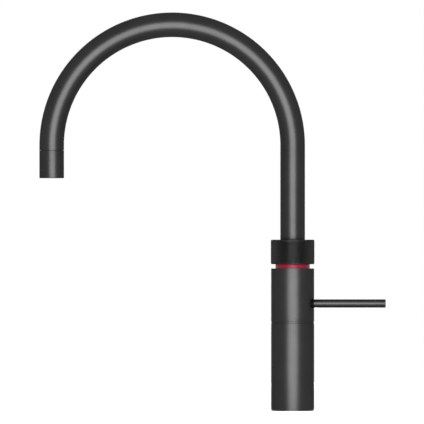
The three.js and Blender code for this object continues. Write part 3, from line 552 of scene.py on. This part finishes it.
seal_rubber = moulded(
    "seal_rubber", dark=(0.006, 0.006, 0.0063), light=(0.009, 0.009, 0.0094), rough=0.36,
    specular=0.4, grain=0.3 * MM, relief=0.003 * MM)
ceramic = moulded(
    "ceramic", dark=(0.8, 0.78, 0.73), light=(0.86, 0.84, 0.8), rough=0.25, specular=0.5,
    relief=0.001 * MM)
board_green = moulded(
    "board_green", dark=(0.012, 0.09, 0.035), light=(0.02, 0.13, 0.055), rough=0.4,
    specular=0.5)

BY_SLOT = {
    "satin_black": satin_black, "knurled_black": knurled_black, "red_light": red_light,
    "joint_plastic": joint_plastic, "pale_plastic": pale_plastic, "brass": brass,
    "steel": steel, "copper": copper, "rubber": rubber, "ceramic": ceramic,
    "board_green": board_green,
}
SLOT_OF = {part["node"]: part["material_slot"] for part in frame["record"]["subparts"]}

# The metal that can be seen through the lever's slot is darkened with painted shade, to look as dark
# as the recess. The lever's stem is turned on its own axis.
OWN_FINISH = {"valve_body": dull_brass, "lever_yoke": dull_steel, "lever_stem": lever_brass}
for node_name, node in frame["nodes"].items():
    finish = OWN_FINISH.get(node_name, BY_SLOT[SLOT_OF[node_name]])
    node.data.materials.clear()
    node.data.materials.append(finish)

# ---------------------------------------------------------------- column

column_radius = -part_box("upper_sleeve")[0].x
column_bore = radius("valve_body") + GAP
neck_radius = radius("neck")
light_radius = neck_radius + GAP + LIGHT_WALL
ring_bore = light_radius + GAP
lever_height = node_box("lever_rod")[2].z
lever_radius = radius("lever_rod")


def plain_ring(node, inner, material, edge=SOFT_EDGE, sides=SIDES, span=None):
    """A turned ring between its bore and the node's own radius, over the node's height or span."""
    low, high, middle, outer = node_box(node)
    low, high = span or (low.z, high.z)
    outline = rounded([(inner, low), (outer, low, edge), (outer, high, edge), (inner, high)])
    return dress(node, turned(outline, sides, upright(middle.x, middle.y)), material)


plain_ring("base_seal", column_bore, seal_rubber,
           span=(bottom("base_seal"), bottom("lower_sleeve")))
plain_ring("sleeve_joint_ring", column_bore, satin_black,
           span=(top("lower_sleeve"), bottom("upper_sleeve")))
plain_ring("lower_sleeve", column_bore, satin_black, COLUMN_EDGE)


def slot_reach():
    """How far the lever slot's front round end lies from its rear one, along Y."""
    flow = joint("lever_flow")
    swing = math.radians(max(flow["range_deg"]))
    edge = Vector((flow["pos_m"][0] - lever_radius * math.sin(swing),
                   -lever_radius * math.cos(swing)))
    along = edge.x * math.cos(swing) - edge.y * math.sin(swing)
    run = math.sqrt(column_radius ** 2 - edge.length_squared + along ** 2) - along
    return lever_radius - (run * math.sin(swing) - edge.y)


def slot_aims(border):
    """For each point of a border round the slot, where on the slot's middle line it looks from,
    and which way, in Y and Z."""
    aims = []
    front = slot_reach()
    for corner in border:
        start = Vector((min(max(corner.co.y, front), 0), lever_height))
        aims.append((start, (Vector((corner.co.y, corner.co.z)) - start).normalized()))
    return aims


def slot_patch(bm, border, aims, reach, outward):
    """Fills the wall between a border and the slot's edge, rounds the edge over and returns its
    last ring of corners. The wall is a cylinder of the given radius."""
    half = lever_radius + SLOT_CLEARANCE
    edge = SLOT_EDGE if outward else SOFT_EDGE
    rings = [border]
    plan = [(share / PATCH_RINGS, 0.0) for share in range(1, PATCH_RINGS + 1)]
    plan += [(1.0, math.pi / 2 * step / EDGE_STEPS) for step in range(1, EDGE_STEPS + 1)]
    for share, turn in plan:
        ring = []
        for corner, (start, way) in zip(border, aims):
            lip = start + way * (half + edge * (1 - math.sin(turn)))
            across = Vector((corner.co.y, corner.co.z)).lerp(lip, share)
            sink = edge * (1 - math.cos(turn)) * (1 if outward else -1)
            out = math.sqrt(reach ** 2 - across.x ** 2) - sink
            ring.append(bm.verts.new((out, across.x, across.y)))
        rings.append(ring)
    for first, second in zip(rings, rings[1:]):
        bridge(bm, first, second)
    return rings[-1]


def upper_sleeve():
    """The upper sleeve, with the lever's slot cut square through its +X side."""
    low, high = bottom("upper_sleeve"), top("upper_sleeve")
    lip = high - LIP_THICKNESS
    outline = rounded([
        (column_bore, low), (column_radius, low, COLUMN_EDGE),
        (column_radius, high, COLUMN_EDGE), (ring_bore, high), (ring_bore, lip),
        (column_bore, lip),
    ])
    levels = (lever_height - PATCH_HALF_HEIGHT, lever_height + PATCH_HALF_HEIGHT)
    for wall in (column_radius, column_bore):
        outline = divided(outline, wall, *levels, PATCH_ROWS)
    bm = bmesh.new()
    rings = [ring_of(bm, point.x, point.y, SIDES, upright()) for point in outline]
    columns = range(PATCH_FIRST_SIDE, PATCH_LAST_SIDE)
    inside = [index for index, point in enumerate(outline)
              if levels[0] - NEAR < point.y < levels[1] + NEAR]
    walls = {wall: [index for index in inside if abs(outline[index].x - wall) < NEAR]
             for wall in (column_radius, column_bore)}
    for index, ring in enumerate(rings):
        after = (index + 1) % len(rings)
        gap = any(index in wall and after in wall for wall in walls.values())
        bridge(bm, ring, rings[after], [side % SIDES for side in columns] if gap else ())
    borders = {}
    for wall, rows in walls.items():
        rows = sorted(rows, key=lambda index: outline[index].y)
        ends = (*columns, PATCH_LAST_SIDE)
        border = [rings[rows[0]][side % SIDES] for side in ends]
        border += [rings[row][PATCH_LAST_SIDE % SIDES] for row in rows[1:]]
        border += [rings[rows[-1]][side % SIDES] for side in reversed(ends[:-1])]
        border += [rings[row][PATCH_FIRST_SIDE % SIDES] for row in reversed(rows[1:-1])]
        borders[wall] = border
    aims = slot_aims(borders[column_radius])
    outer = slot_patch(bm, borders[column_radius], aims, column_radius, True)
    inner = slot_patch(bm, borders[column_bore], aims, column_bore, False)
    bridge(bm, outer, inner)
    unused = [corner for corner in bm.verts if not corner.link_faces]
    bmesh.ops.delete(bm, geom=unused, context="VERTS")
    return dress("upper_sleeve", bm, satin_black)


upper_sleeve()


def light_ring():
    """The red light guide: a band that shows, on a flange under the column's lip."""
    low, high = bottom("light_ring"), top("light_ring")
    inner = neck_radius + GAP
    outline = rounded([
        (inner, low), (radius("light_ring"), low), (radius("light_ring"), low + LIGHT_FLANGE),
        (light_radius, low + LIGHT_FLANGE), (light_radius, high), (inner, high),
    ])
    return dress("light_ring", turned(outline, SIDES), red_light)


light_ring()

# ---------------------------------------------------------------- push-and-turn ring

PUSH_TRAVEL = max(joint("ring_push")["range_m"])


def knurl(bm, lower, upper, valley, crest):
    """Rows of flat-topped diamonds between two rings of corners at the valley radius."""
    low, high = lower[0].co.z, upper[0].co.z
    sides = len(lower)

    def corner(side, row, reach):
        """A corner on the grid of sides and rows, at its own distance from the axis."""
        angle = 2 * math.pi * side / sides
        height = low + (high - low) * row / KNURL_ROWS
        return bm.verts.new((reach * math.cos(angle), reach * math.sin(angle), height))

    valleys = {(side, 0): lower[side] for side in range(sides)}
    valleys.update({(side, KNURL_ROWS): upper[side] for side in range(sides)})
    for row in range(1, KNURL_ROWS):
        for side in range(row % 2, sides, 2):
            valleys[side, row] = corner(side, row, valley)
    steps = ((1, 0), (0, 1), (-1, 0), (0, -1))
    for row in range(1, KNURL_ROWS):
        for side in range((row + 1) % 2, sides, 2):
            feet = [valleys[(side + x) % sides, row + z] for x, z in steps]
            crown = [corner(side + KNURL_FLAT * x, row + KNURL_FLAT * z, crest) for x, z in steps]
            bm.faces.new(crown)
            bridge(bm, feet, crown)
    for row, inward in ((0, 1), (KNURL_ROWS, -1)):
        for side in range((row + 1) % 2, sides, 2):
            tip = valleys[side, row + inward]
            here = valleys[side, row]
            for step in (1, -1):
                bm.faces.new((here, valleys[(side + step) % sides, row], tip))


def knurled_ring():
    """The ring that is pressed and turned, knurled from one chamfer to the other."""
    low, high = bottom("knurled_ring"), top("knurled_ring")
    outer = radius("knurled_ring")
    valley = outer - KNURL_DEPTH
    lower = low + RING_CHAMFER + KNURL_DEPTH
    upper = high - RING_CHAMFER - KNURL_DEPTH
    recess = ring_bore + RETAINER_WIDTH + GAP
    roof = bottom("drive_sleeve") + DRIVE_FLANGE + PUSH_TRAVEL + GAP
    bore = neck_radius - NECK_WALL
    chain = rounded([
        (valley, upper, 0), (outer, high - RING_CHAMFER, 0), (outer - RING_CHAMFER, high),
        (bore, high, RING_BORE_EDGE), (bore, high - RING_CAP), (ring_bore, high - RING_CAP),
        (ring_bore, roof), (recess, roof), (recess, low), (outer - RING_CHAMFER, low),
        (outer, low + RING_CHAMFER, 0), (valley, lower, 0),
    ])
    bm = bmesh.new()
    rings = [ring_of(bm, point[0], point[1], 2 * KNURLS, upright()) for point in chain]
    for first, second in zip(rings, rings[1:]):
        bridge(bm, first, second)
    knurl(bm, rings[-1], rings[0], valley, outer)
    return dress("knurled_ring", bm, knurled_black)


knurled_ring()


def ring_spring():
    """The coil spring that lifts the ring again, with closed ends."""
    low, high, _, outer = node_box("ring_spring")
    wire = SPRING_WIRE / 2
    mean = outer - wire
    closed_rise = CLOSED_TURN_RISE * SPRING_WIRE
    open_rise = high.z - low.z - SPRING_WIRE - 2 * closed_rise
    open_turns = SPRING_TURNS - 2

    def along_coil(turns):
        """The wire's centreline, measured in turns."""
        height = low.z + wire + closed_rise * (min(turns, 1) + max(turns - open_turns - 1, 0))
        height += open_rise * min(max(turns - 1, 0), open_turns) / open_turns
        place = Matrix.Rotation(2 * math.pi * turns, 4, "Z") @ Matrix.Translation((mean, 0, height))
        return place @ Matrix.Rotation(-math.pi / 2, 4, "X")

    steps = SPRING_TURNS * COIL_STEPS
    outline = [Vector((0, 0)), Vector((wire, 0)), Vector((wire, SPRING_TURNS)),
               Vector((0, SPRING_TURNS))]
    outline = divided(outline, wire, 0, SPRING_TURNS, steps)
    spring = dress("ring_spring", turned(outline, WIRE_SIDES, along_coil), steel)
    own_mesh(spring)


ring_spring()

# ---------------------------------------------------------------- lever


def along_lever(distance):
    """The lever's axis, measured along X from the column's axis."""
    return Matrix.Translation((distance, 0, lever_height)) @ Matrix.Rotation(math.pi / 2, 4, "Y")


def peg(start, end, reach, sides=SMALL_SIDES, axis=None):
    """A plain round tool for cutting holes."""
    outline = [Vector((0, start)), Vector((reach, start)), Vector((reach, end)), Vector((0, end))]
    return turned(outline, sides, axis)


def lever_rod():
    """The side lever, with its stem's socket and the hole for the set screw in its underside."""
    low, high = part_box("lever_rod")
    outline = rounded([
        (0, low.x + LEVER_SOCKET), (LEVER_BORE, low.x + LEVER_SOCKET), (LEVER_BORE, low.x),
        (lever_radius, low.x), (lever_radius, high.x, LEVER_EDGE), (0, high.x),
    ])

    def along_screw(distance):
        """The set screw's axis, measured down from the lever's."""
        return Matrix.Translation((low.x + SET_SCREW_PLACE, 0, lever_height - distance))

    hole = peg(0, lever_radius + OVERSHOOT, SET_SCREW_BORE, SMALL_SIDES, along_screw)
    body = combined("lever_rod_body", turned(outline, FINE_SIDES, along_lever), [hole])
    return dress("lever_rod", body, lever_black)


lever_rod()


def lever_ring(node, inner, material, notch=None, end=None):
    """A ring on the lever's axis, over the node's own length or as far as the given end."""
    low, high, _, outer = node_box(node)
    end = end or high.x
    outline = rounded([(inner, low.x), (outer, low.x), (outer, end), (inner, end)])
    body = turned(outline, FINE_SIDES, along_lever)
    if notch:
        body = combined(f"{node}_body", body, [notch])
    return dress(node, body, material)


def cuboid(low, high):
    """A box between two opposite corners."""
    bm = bmesh.new()
    bmesh.ops.create_cube(bm, size=1)
    low, high = Vector(low), Vector(high)
    for corner in bm.verts:
        corner.co = Vector(a + (b - a) * (part + 0.5) for a, b, part in zip(low, high, corner.co))
    return bm


# The collar is dark rubber that also gives painted shade in the lever's slot.
lever_ring("lever_collar", LEVER_BORE, rubber, end=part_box("lever_rod")[0].x)
_, nut_high, _, nut_radius = node_box("cartridge_nut")
spanner_notch = cuboid(
    (nut_high.x - SPANNER_NOTCH / 2, -SPANNER_NOTCH / 2, lever_height - 2 * nut_radius),
    (nut_high.x + SPANNER_NOTCH, SPANNER_NOTCH / 2, lever_height + 2 * nut_radius))
lever_ring("cartridge_nut", nut_radius - NUT_WIDTH, dull_brass, spanner_notch)

# ---------------------------------------------------------------- spout and nozzle

spout_low, spout_high, _, spout_radius = node_box("spout_tube")
bend_radius = (spout_high.x - spout_low.x) / 2 - spout_radius
bend_height = spout_high.z - spout_radius - bend_radius
rise = bend_height - spout_low.z
spout_bore = spout_radius - SPOUT_WALL
nozzle_mouth = bottom("nozzle_shell")
nozzle_joint = nozzle_mouth + NOZZLE_LENGTH
nozzle_axis = upright(-2 * bend_radius, 0)


def along_spout(distance):
    """The spout's centreline: a straight leg up, a half-circle over -X and a short leg down."""
    if distance <= rise:
        return Matrix.Translation((0, 0, spout_low.z + distance))
    angle = min((distance - rise) / bend_radius, math.pi)
    drop = max(distance - rise - math.pi * bend_radius, 0)
    height = bend_height + bend_radius * math.sin(angle) - drop
    place = (bend_radius * (math.cos(angle) - 1), 0, height)
    return Matrix.Translation(place) @ Matrix.Rotation(-angle, 4, "Y")


def spout_tube():
    """The arched tube. Its two ends are rounded, which makes the joint at the nozzle."""
    length = rise + math.pi * bend_radius + bend_height - nozzle_joint - JOINT_GAP
    outline = rounded([(spout_bore, 0), (spout_radius, 0), (spout_radius, length, JOINT_EDGE),
                       (spout_bore, length)])
    for wall in (spout_radius, spout_bore):
        outline = divided(outline, wall, rise, rise + math.pi * bend_radius, SPOUT_BEND_STEPS)
    return dress("spout_tube", turned(outline, FINE_SIDES, along_spout), satin_black)


spout_tube()


def nozzle_shell():
    """The spout's end piece, with a spigot that goes up inside the tube."""
    mouth_bore = spout_radius - NOZZLE_WALL
    spigot = spout_bore - GAP
    spigot_bore = spigot - SPIGOT_WALL
    step = top("nozzle_seal") + GAP
    outline = rounded([
        (mouth_bore, nozzle_mouth, MOUTH_EDGE), (spout_radius, nozzle_mouth, NOZZLE_CHAMFER),
        (spout_radius, nozzle_joint, JOINT_EDGE), (spigot, nozzle_joint),
        (spigot, top("nozzle_shell")), (spigot_bore, top("nozzle_shell")),
        (spigot_bore, step), (mouth_bore, step),
    ])
    return dress("nozzle_shell", turned(outline, FINE_SIDES, nozzle_axis), satin_black)


nozzle_shell()


def flow_insert():
    """The outlet insert: a ring of holes round a centre outlet for boiling water."""
    low, high, _, outer = node_box("flow_insert")
    socket = BOILING_TUBE + GAP
    hub = socket + FLOW_HUB_WALL
    deck = high.z - FLOW_HUB_RISE
    floor = (low.z + deck) / 2 - GAP
    outline = rounded([
        (FLOW_OUTLET, low.z, INSERT_EDGE), (outer, low.z, INSERT_EDGE), (outer, deck),
        (hub, deck), (hub, high.z), (socket, high.z), (socket, floor), (FLOW_OUTLET, floor),
    ])
    pitch = (hub + outer) / 2
    holes = []
    for index in range(FLOW_HOLES):
        angle = 2 * math.pi * index / FLOW_HOLES
        axis = upright(-2 * bend_radius + pitch * math.cos(angle), pitch * math.sin(angle))
        holes.append(peg(low.z - OVERSHOOT, deck + OVERSHOOT, FLOW_HOLE, SMALL_SIDES // 2, axis))
    body = combined("flow_insert_body", turned(outline, FINE_SIDES, nozzle_axis), holes)
    return dress("flow_insert", body, joint_plastic)


flow_insert()

# ---------------------------------------------------------------- below the worktop

shank_radius = radius("mounting_shank")


def thread(crest, start, end, pitch):
    """A shape that cuts a thread where the radius is the crest's, between two heights."""
    depth = THREAD_DEPTH * pitch

    def shape(reach, angle, height):
        """The radius at one corner. The thread fades out over its first and last turn."""
        if abs(reach - crest) > NEAR or not start < height < end:
            return reach
        turn = (height / pitch - angle / (2 * math.pi)) % 1
        fade = min(1, (height - start) / pitch, (end - height) / pitch)
        flank = (abs(2 * turn - 1) - THREAD_FLAT) / (1 - 2 * THREAD_FLAT)
        return reach - depth * fade * min(max(flank, 0), 1)

    return shape


def threaded(outline, crest, start, end, pitch, sides, axis):
    """A turned piece with a thread along part of it."""
    rows = round((end - start) / pitch * THREAD_ROWS)
    outline = divided(outline, crest, start, end, rows)
    return turned(outline, sides, axis, thread(crest, start, end, pitch))


def mounting_shank():
    """The hollow shank that goes through the worktop, threaded below the column."""
    low, high = bottom("mounting_shank"), top("mounting_shank")
    bore = shank_radius - SHANK_WALL
    outline = rounded([(bore, low), (shank_radius, low, SHANK_EDGE), (shank_radius, high),
                       (bore, high)])
    body = threaded(outline, shank_radius, low + SHANK_PLAIN_END, -SHANK_PLAIN_END, SHANK_PITCH,
                    FINE_SIDES, upright())
    return dress("mounting_shank", body, brass)


mounting_shank()
plain_ring("base_foot", shank_radius + GAP, brass, FOOT_EDGE)
plain_ring("worktop_gasket", shank_radius + GAP, rubber, GASKET_EDGE)
plain_ring("clamp_plate", shank_radius + GAP, steel, PLATE_EDGE)


def clamp_nut():
    """A hexagon nut with its corners turned off at both faces."""
    low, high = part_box("clamp_nut")
    corner = high.x
    flat = corner * math.cos(math.pi / HEXAGON)
    slope = 2 * (corner - flat) * math.tan(CLAMP_NUT_SLOPE)
    inner = flat - CLAMP_NUT_SHOULDER
    outer = corner + CLAMP_NUT_SHOULDER
    barrel = [Vector(point) for point in (
        (0, low.z), (inner, low.z), (outer, low.z + slope),
        (outer, high.z - slope), (inner, high.z), (0, high.z))]
    bore = shank_radius + GAP
    flared = bore + 2 * CLAMP_NUT_FLARE
    flare = [Vector(point) for point in (
        (0, low.z - CLAMP_NUT_FLARE), (flared, low.z - CLAMP_NUT_FLARE),
        (bore, low.z + CLAMP_NUT_FLARE), (bore, high.z - CLAMP_NUT_FLARE),
        (flared, high.z + CLAMP_NUT_FLARE), (0, high.z + CLAMP_NUT_FLARE))]
    prism = peg(low.z, high.z, corner, HEXAGON)
    kept = combined("clamp_nut_blank", prism, [turned(barrel, FINE_SIDES)], "INTERSECT")
    body = combined("clamp_nut_body", kept, [turned(flare, SMALL_SIDES)])
    return dress("clamp_nut", body, brass)


clamp_nut()


def supply_line(name):
    """One copper pipe and the threaded inlet on its lower end."""
    pipe, inlet = f"{name}_pipe", f"{name}_inlet"
    _, _, middle, outer = node_box(pipe)
    plain_ring(pipe, outer - PIPE_WALL, copper, sides=SMALL_SIDES)
    base, crown = bottom(inlet), top(inlet)
    socket = outer + GAP
    collar = socket + INLET_WALL
    neck = collar - INLET_STEP
    step = crown - INLET_GRIP - GAP
    shoulder = crown - INLET_COLLAR
    outline = rounded([
        (INLET_BORE, base), (neck, base, INLET_EDGE), (neck, shoulder),
        (collar, shoulder, INLET_COLLAR_EDGE), (collar, crown, INLET_COLLAR_EDGE),
        (socket, crown), (socket, step), (INLET_BORE, step),
    ])
    axis = upright(middle.x, middle.y)
    body = threaded(outline, neck, base + INLET_PLAIN_END, shoulder - INLET_PLAIN_END,
                    INLET_PITCH, SMALL_SIDES, axis)
    dress(inlet, body, brass)


for supply in ("cold", "hot", "boiling"):
    supply_line(supply)


def cable_grommet():
    """The rubber plug in the shank's lower end, with holes for the pipes and the sensor cable."""
    low, high, _, outer = node_box("cable_grommet")
    body = turned(rounded([(0, low.z), (outer, low.z, GROMMET_EDGE), (outer, high.z, GROMMET_EDGE),
                           (0, high.z)]), FINE_SIDES)
    ends = (low.z - OVERSHOOT, high.z + OVERSHOOT)
    holes = []
    for name in ("cold_pipe", "hot_pipe", "boiling_pipe"):
        _, _, middle, reach = node_box(name)
        holes.append(peg(*ends, reach + GAP, SMALL_SIDES, upright(middle.x, middle.y)))
    _, _, hot, _ = node_box("hot_pipe")
    holes.append(peg(*ends, CABLE_HOLE, SMALL_SIDES, upright(-hot.x, hot.y + GAP)))
    dress("cable_grommet", combined("cable_grommet_body", body, holes), rubber)


cable_grommet()

# ---------------------------------------------------------------- camera, light and floor


def camera():
    """A level camera in front of the tap that frames it as the photograph does."""
    lens = bpy.data.cameras.new("photo_camera")
    lens.lens = LENS
    lens.sensor_width = SENSOR
    lens.clip_start = CLIP_NEAR
    lens.clip_end = CLIP_FAR
    made = bpy.data.objects.new("photo_camera", lens)
    bpy.context.scene.collection.objects.link(made)
    made.location = VIEW_CENTRE - Vector((0, VIEW_WIDTH * LENS / SENSOR, 0))
    made.rotation_euler = (math.pi / 2, 0, 0)
    bpy.context.scene.camera = made


def round_lamp(name, side, spread, radiance):
    """A round soft lamp that faces the tap level from the front, side -1, or the back, side 1."""
    lamp = bpy.data.lights.new(name, "AREA")
    lamp.shape = "DISK"
    reach = LAMP_DISTANCE * math.tan(spread)
    lamp.size = 2 * reach
    area = math.pi * reach ** 2
    lamp.energy = math.pi * radiance * area
    made = bpy.data.objects.new(name, lamp)
    bpy.context.scene.collection.objects.link(made)
    made.location = (LAMP_ACROSS, side * LAMP_DISTANCE, LAMP_HEIGHT)
    made.rotation_euler = (-side * math.pi / 2, 0, 0)
    made.visible_camera = False


def seen_directly(nodes, links):
    """One for camera, glossy and transmission rays, nothing for the rays that carry soft light."""
    path = nodes.new("ShaderNodeLightPath")
    total = path.outputs["Is Camera Ray"]
    for ray in ("Is Glossy Ray", "Is Transmission Ray"):
        add = nodes.new("ShaderNodeMath")
        add.operation = "ADD"
        add.use_clamp = True
        links.new(total, add.inputs[0])
        links.new(path.outputs[ray], add.inputs[1])
        total = add.outputs[0]
    return total


def room():
    """White wherever it is seen, in the picture and in reflections, and a plain grey as light."""
    world = bpy.data.worlds.new("room")
    world.use_nodes = True
    nodes, links = world.node_tree.nodes, world.node_tree.links
    light = nodes["Background"]
    light.inputs["Color"].default_value = (1, 1, 1, 1)
    light.inputs["Strength"].default_value = ROOM_LEVEL
    seen = nodes.new("ShaderNodeBackground")
    seen.inputs["Color"].default_value = (1, 1, 1, 1)
    seen.inputs["Strength"].default_value = 1.0
    mix = nodes.new("ShaderNodeMixShader")
    links.new(seen_directly(nodes, links), mix.inputs[0])
    links.new(light.outputs[0], mix.inputs[1])
    links.new(seen.outputs[0], mix.inputs[2])
    links.new(mix.outputs[0], nodes["World Output"].inputs["Surface"])
    bpy.context.scene.world = world


def worktop():
    """A pale floor that shows the tap's shadow. From below it is clear, and it blocks no light."""
    bm = bmesh.new()
    bmesh.ops.create_circle(bm, cap_ends=True, radius=FLOOR_RADIUS, segments=FLOOR_SIDES)
    floor = mesh_object("worktop", bm)
    floor.location.z = -FLOOR_SINK
    floor.visible_shadow = False
    floor.visible_glossy = False
    floor.visible_diffuse = False
    material = bpy.data.materials.new("worktop")
    material.use_nodes = True
    nodes, links = material.node_tree.nodes, material.node_tree.links
    nodes.remove(nodes["Principled BSDF"])
    paint = nodes.new("ShaderNodeBsdfDiffuse")
    paint.inputs["Color"].default_value = (*FLOOR_PAINT, 1)
    glow = nodes.new("ShaderNodeEmission")
    lift = nodes.new("ShaderNodeMath")
    lift.operation = "MULTIPLY"
    lift.inputs[1].default_value = FLOOR_GLOW
    links.new(seen_directly(nodes, links), lift.inputs[0])
    links.new(lift.outputs[0], glow.inputs["Strength"])
    both = nodes.new("ShaderNodeAddShader")
    links.new(paint.outputs[0], both.inputs[0])
    links.new(glow.outputs[0], both.inputs[1])
    side = nodes.new("ShaderNodeNewGeometry")
    clear = nodes.new("ShaderNodeBsdfTransparent")
    mix = nodes.new("ShaderNodeMixShader")
    links.new(side.outputs["Backfacing"], mix.inputs[0])
    links.new(both.outputs[0], mix.inputs[1])
    links.new(clear.outputs[0], mix.inputs[2])
    links.new(mix.outputs[0], nodes["Material Output"].inputs["Surface"])
    floor.data.materials.append(material)


camera()
round_lamp("front_lamp", -1, FRONT_LAMP_SPREAD, FRONT_LAMP_RADIANCE)
round_lamp("back_lamp", 1, BACK_LAMP_SPREAD, BACK_LAMP_RADIANCE)
room()
worktop()
bpy.context.scene.view_settings.view_transform = "Standard"
